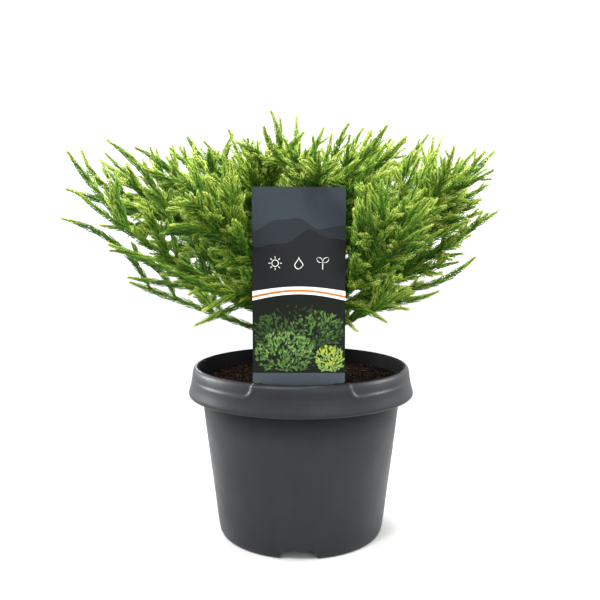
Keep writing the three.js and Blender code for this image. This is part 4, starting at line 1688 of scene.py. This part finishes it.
def printLabel():
    half = card["width"] / 2
    xs = np.linspace(-half, half, 60)
    # the sheet's edge follows its rounded corners
    corner = card["corner"]
    past = np.clip(np.abs(xs) - (half - corner), 0, corner)
    inset = corner - np.sqrt(np.maximum(corner ** 2 - past ** 2, 0))
    near, far = hillLine(xs, *labelPrint["nearHills"]), hillLine(xs, *labelPrint["farHills"])
    arch = labelPrint["arch"] * np.cos(xs / half * labelPrint["archTurn"])
    bandFoot, bandTop = labelPrint["bandFoot"] + arch, labelPrint["bandTop"] + arch * 0.72
    strip = np.full_like(xs, labelPrint["pictureFoot"])
    orangeFoot, orangeTop = (bandFoot + rise for rise in labelPrint["orangeLine"])
    plates = [
        (plate(np.stack([xs, low], -1), np.stack([xs, high], -1), lift), ink)
        for ink, low, high, lift in (
            ("sky", far, card["height"] - inset, 0.02),
            ("farHills", near, far, 0.015),
            ("leafGround", strip, bandFoot, 0.015),
            ("strip", inset, strip, 0.03),
            ("white", bandFoot, bandTop, 0.36),
            ("orange", orangeFoot, orangeTop, 0.4),
        )
    ]
    plates += [(shape, "white") for shape in careSigns()]
    wide, narrow, height = labelPrint["shoulder"]
    under = np.stack([xs * narrow / half, np.full_like(xs, -height)], -1)
    over = np.stack([xs * wide / half, np.zeros_like(xs)], -1)
    plates.append((plate(under, over, 0.03), "strip"))
    plates += leafyBushes(half)
    points, triangles = joinShapes([shape for shape, _ in plates])
    inks = labelPrint["inks"]
    numbers = {ink: number for number, ink in enumerate(inks)}
    tones = np.concatenate([np.full(len(shape[1]), numbers[ink]) for shape, ink in plates])
    materials = [coatedCard("Print" + ink[0].upper() + ink[1:], color) for ink, color in inks.items()]
    piece = pieceFromArrays("label_print", points, triangles, materials, tones, smooth=False)
    finishPiece(piece)


def leafyBushes(half):
    # rounded bushes of pointed leaves that fan out from their feet, lighter above and in front
    draws = np.random.default_rng(labelPrint["seed"])
    found = []
    foot = labelPrint["pictureFoot"] + 1
    total = sum(bush[4] for bush in labelPrint["bushes"])
    for x0, z0, halfWide, halfTall, count, firstTone, lastTone in labelPrint["bushes"]:
        for i in range(count):
            angle, out = draws.uniform(0, 2 * math.pi), math.sqrt(draws.uniform(0, 1))
            x, z = x0 + halfWide * out * math.cos(angle), z0 + halfTall * out * math.sin(angle)
            light = 0.5 + 0.32 * math.sin(angle) * out + draws.normal(0, 0.22)
            leaf = firstTone + int(np.clip(light, 0, 0.999) * (lastTone - firstTone + 1))
            if firstTone == 0 and draws.random() < labelPrint["brownShare"]:
                leaf = 6
            turn = math.atan2(z - z0 + halfTall * 0.8, x - x0) + draws.normal(0, 0.5)
            length, wide = draws.uniform(*labelPrint["leafLength"]), draws.uniform(*labelPrint["leafWidth"])
            top = labelPrint["pictureTop"] + 4.5 * math.cos(x / half * labelPrint["archTurn"]) - 1
            if abs(x) > half - 1.5 or z < foot + 1 or z > top:
                continue
            way, side = wayAndSide(turn)
            spine = np.array([x, z]) + way * np.linspace(-0.5, 0.5, 5)[:, None] * length
            width = np.array(labelPrint["leafShape"])[:, None] * wide * side
            rails = []
            for rail in ((spine - width)[::-1], (spine + width)[::-1]):
                inside = np.clip(rail[:, 0], 0.3 - half, half - 0.3)
                rails.append(np.stack([inside, np.maximum(rail[:, 1], foot)], -1))
            lift = 0.05 + 0.27 * len(found) / total
            found.append((plate(*rails, lift), f"leaf{leaf}"))
    return found


def careSigns():
    # three plain signs as thin outlines: sun, drop and a growing shoot
    shapes = []
    height, gap, thin, lift = (labelPrint[name] for name in ("signHeight", "signGap", "signLine", "signLift"))
    sun = np.array([-gap, height])
    turns = evenTurns(40)
    ring = np.stack([np.cos(turns), np.sin(turns)], -1)
    shapes.append(plate(sun + ring * 2.6, sun + ring * (2.6 + thin), lift, True))
    for turn in evenTurns(8):
        way, side = wayAndSide(turn)
        ray = sun + way * np.array([[4.1], [6.0]])
        shapes.append(plate(ray + side * thin / 2, ray - side * thin / 2, lift))
    turns = evenTurns(48, -math.pi / 2)
    drop = np.stack([np.cos(turns) * (1 - 0.62 * smoothStep(np.sin(turns), 0.0, 1.0)), np.sin(turns)], -1)
    drop[:, 1] = np.where(drop[:, 1] > 0, drop[:, 1] * 1.9, drop[:, 1])
    drop[:, 0] *= np.where(drop[:, 1] > 0, 1 - (drop[:, 1] / 1.9) ** 2 * 0.95, 1)
    middle = np.array([0.0, height - 1.6])
    shapes.append(plate(middle + drop * 3.3, middle + drop * (3.3 + thin * 1.15), lift, True))
    middle = np.array([gap, height])
    stalk = middle + np.array([[0.0, -5.6], [0.1, -2], [0.2, 1.2]])
    shapes.append(plate(stalk + [thin / 2, 0], stalk - [thin / 2, 0], lift))
    share = np.linspace(0.02, 0.98, 14)
    for side in (-1, 1):
        # two leaves, each as an upper and a lower line
        spine = middle + np.stack([side * 5.6 * share, 1.2 + 4.4 * share], -1) + [0.2, -0.6]
        outwards = np.sin(share * math.pi)[:, None] * np.array([-side * 0.62, 0.78])
        for sign in (-1, 1):
            edge = spine + outwards * 1.7 * sign
            outer = edge + outwards * sign * thin + [0, 0.001]
            rails = (outer, edge) if side * sign > 0 else (edge, outer)
            shapes.append(plate(*rails, lift))
    return shapes


makeCard()
printLabel()
print("label is printed")
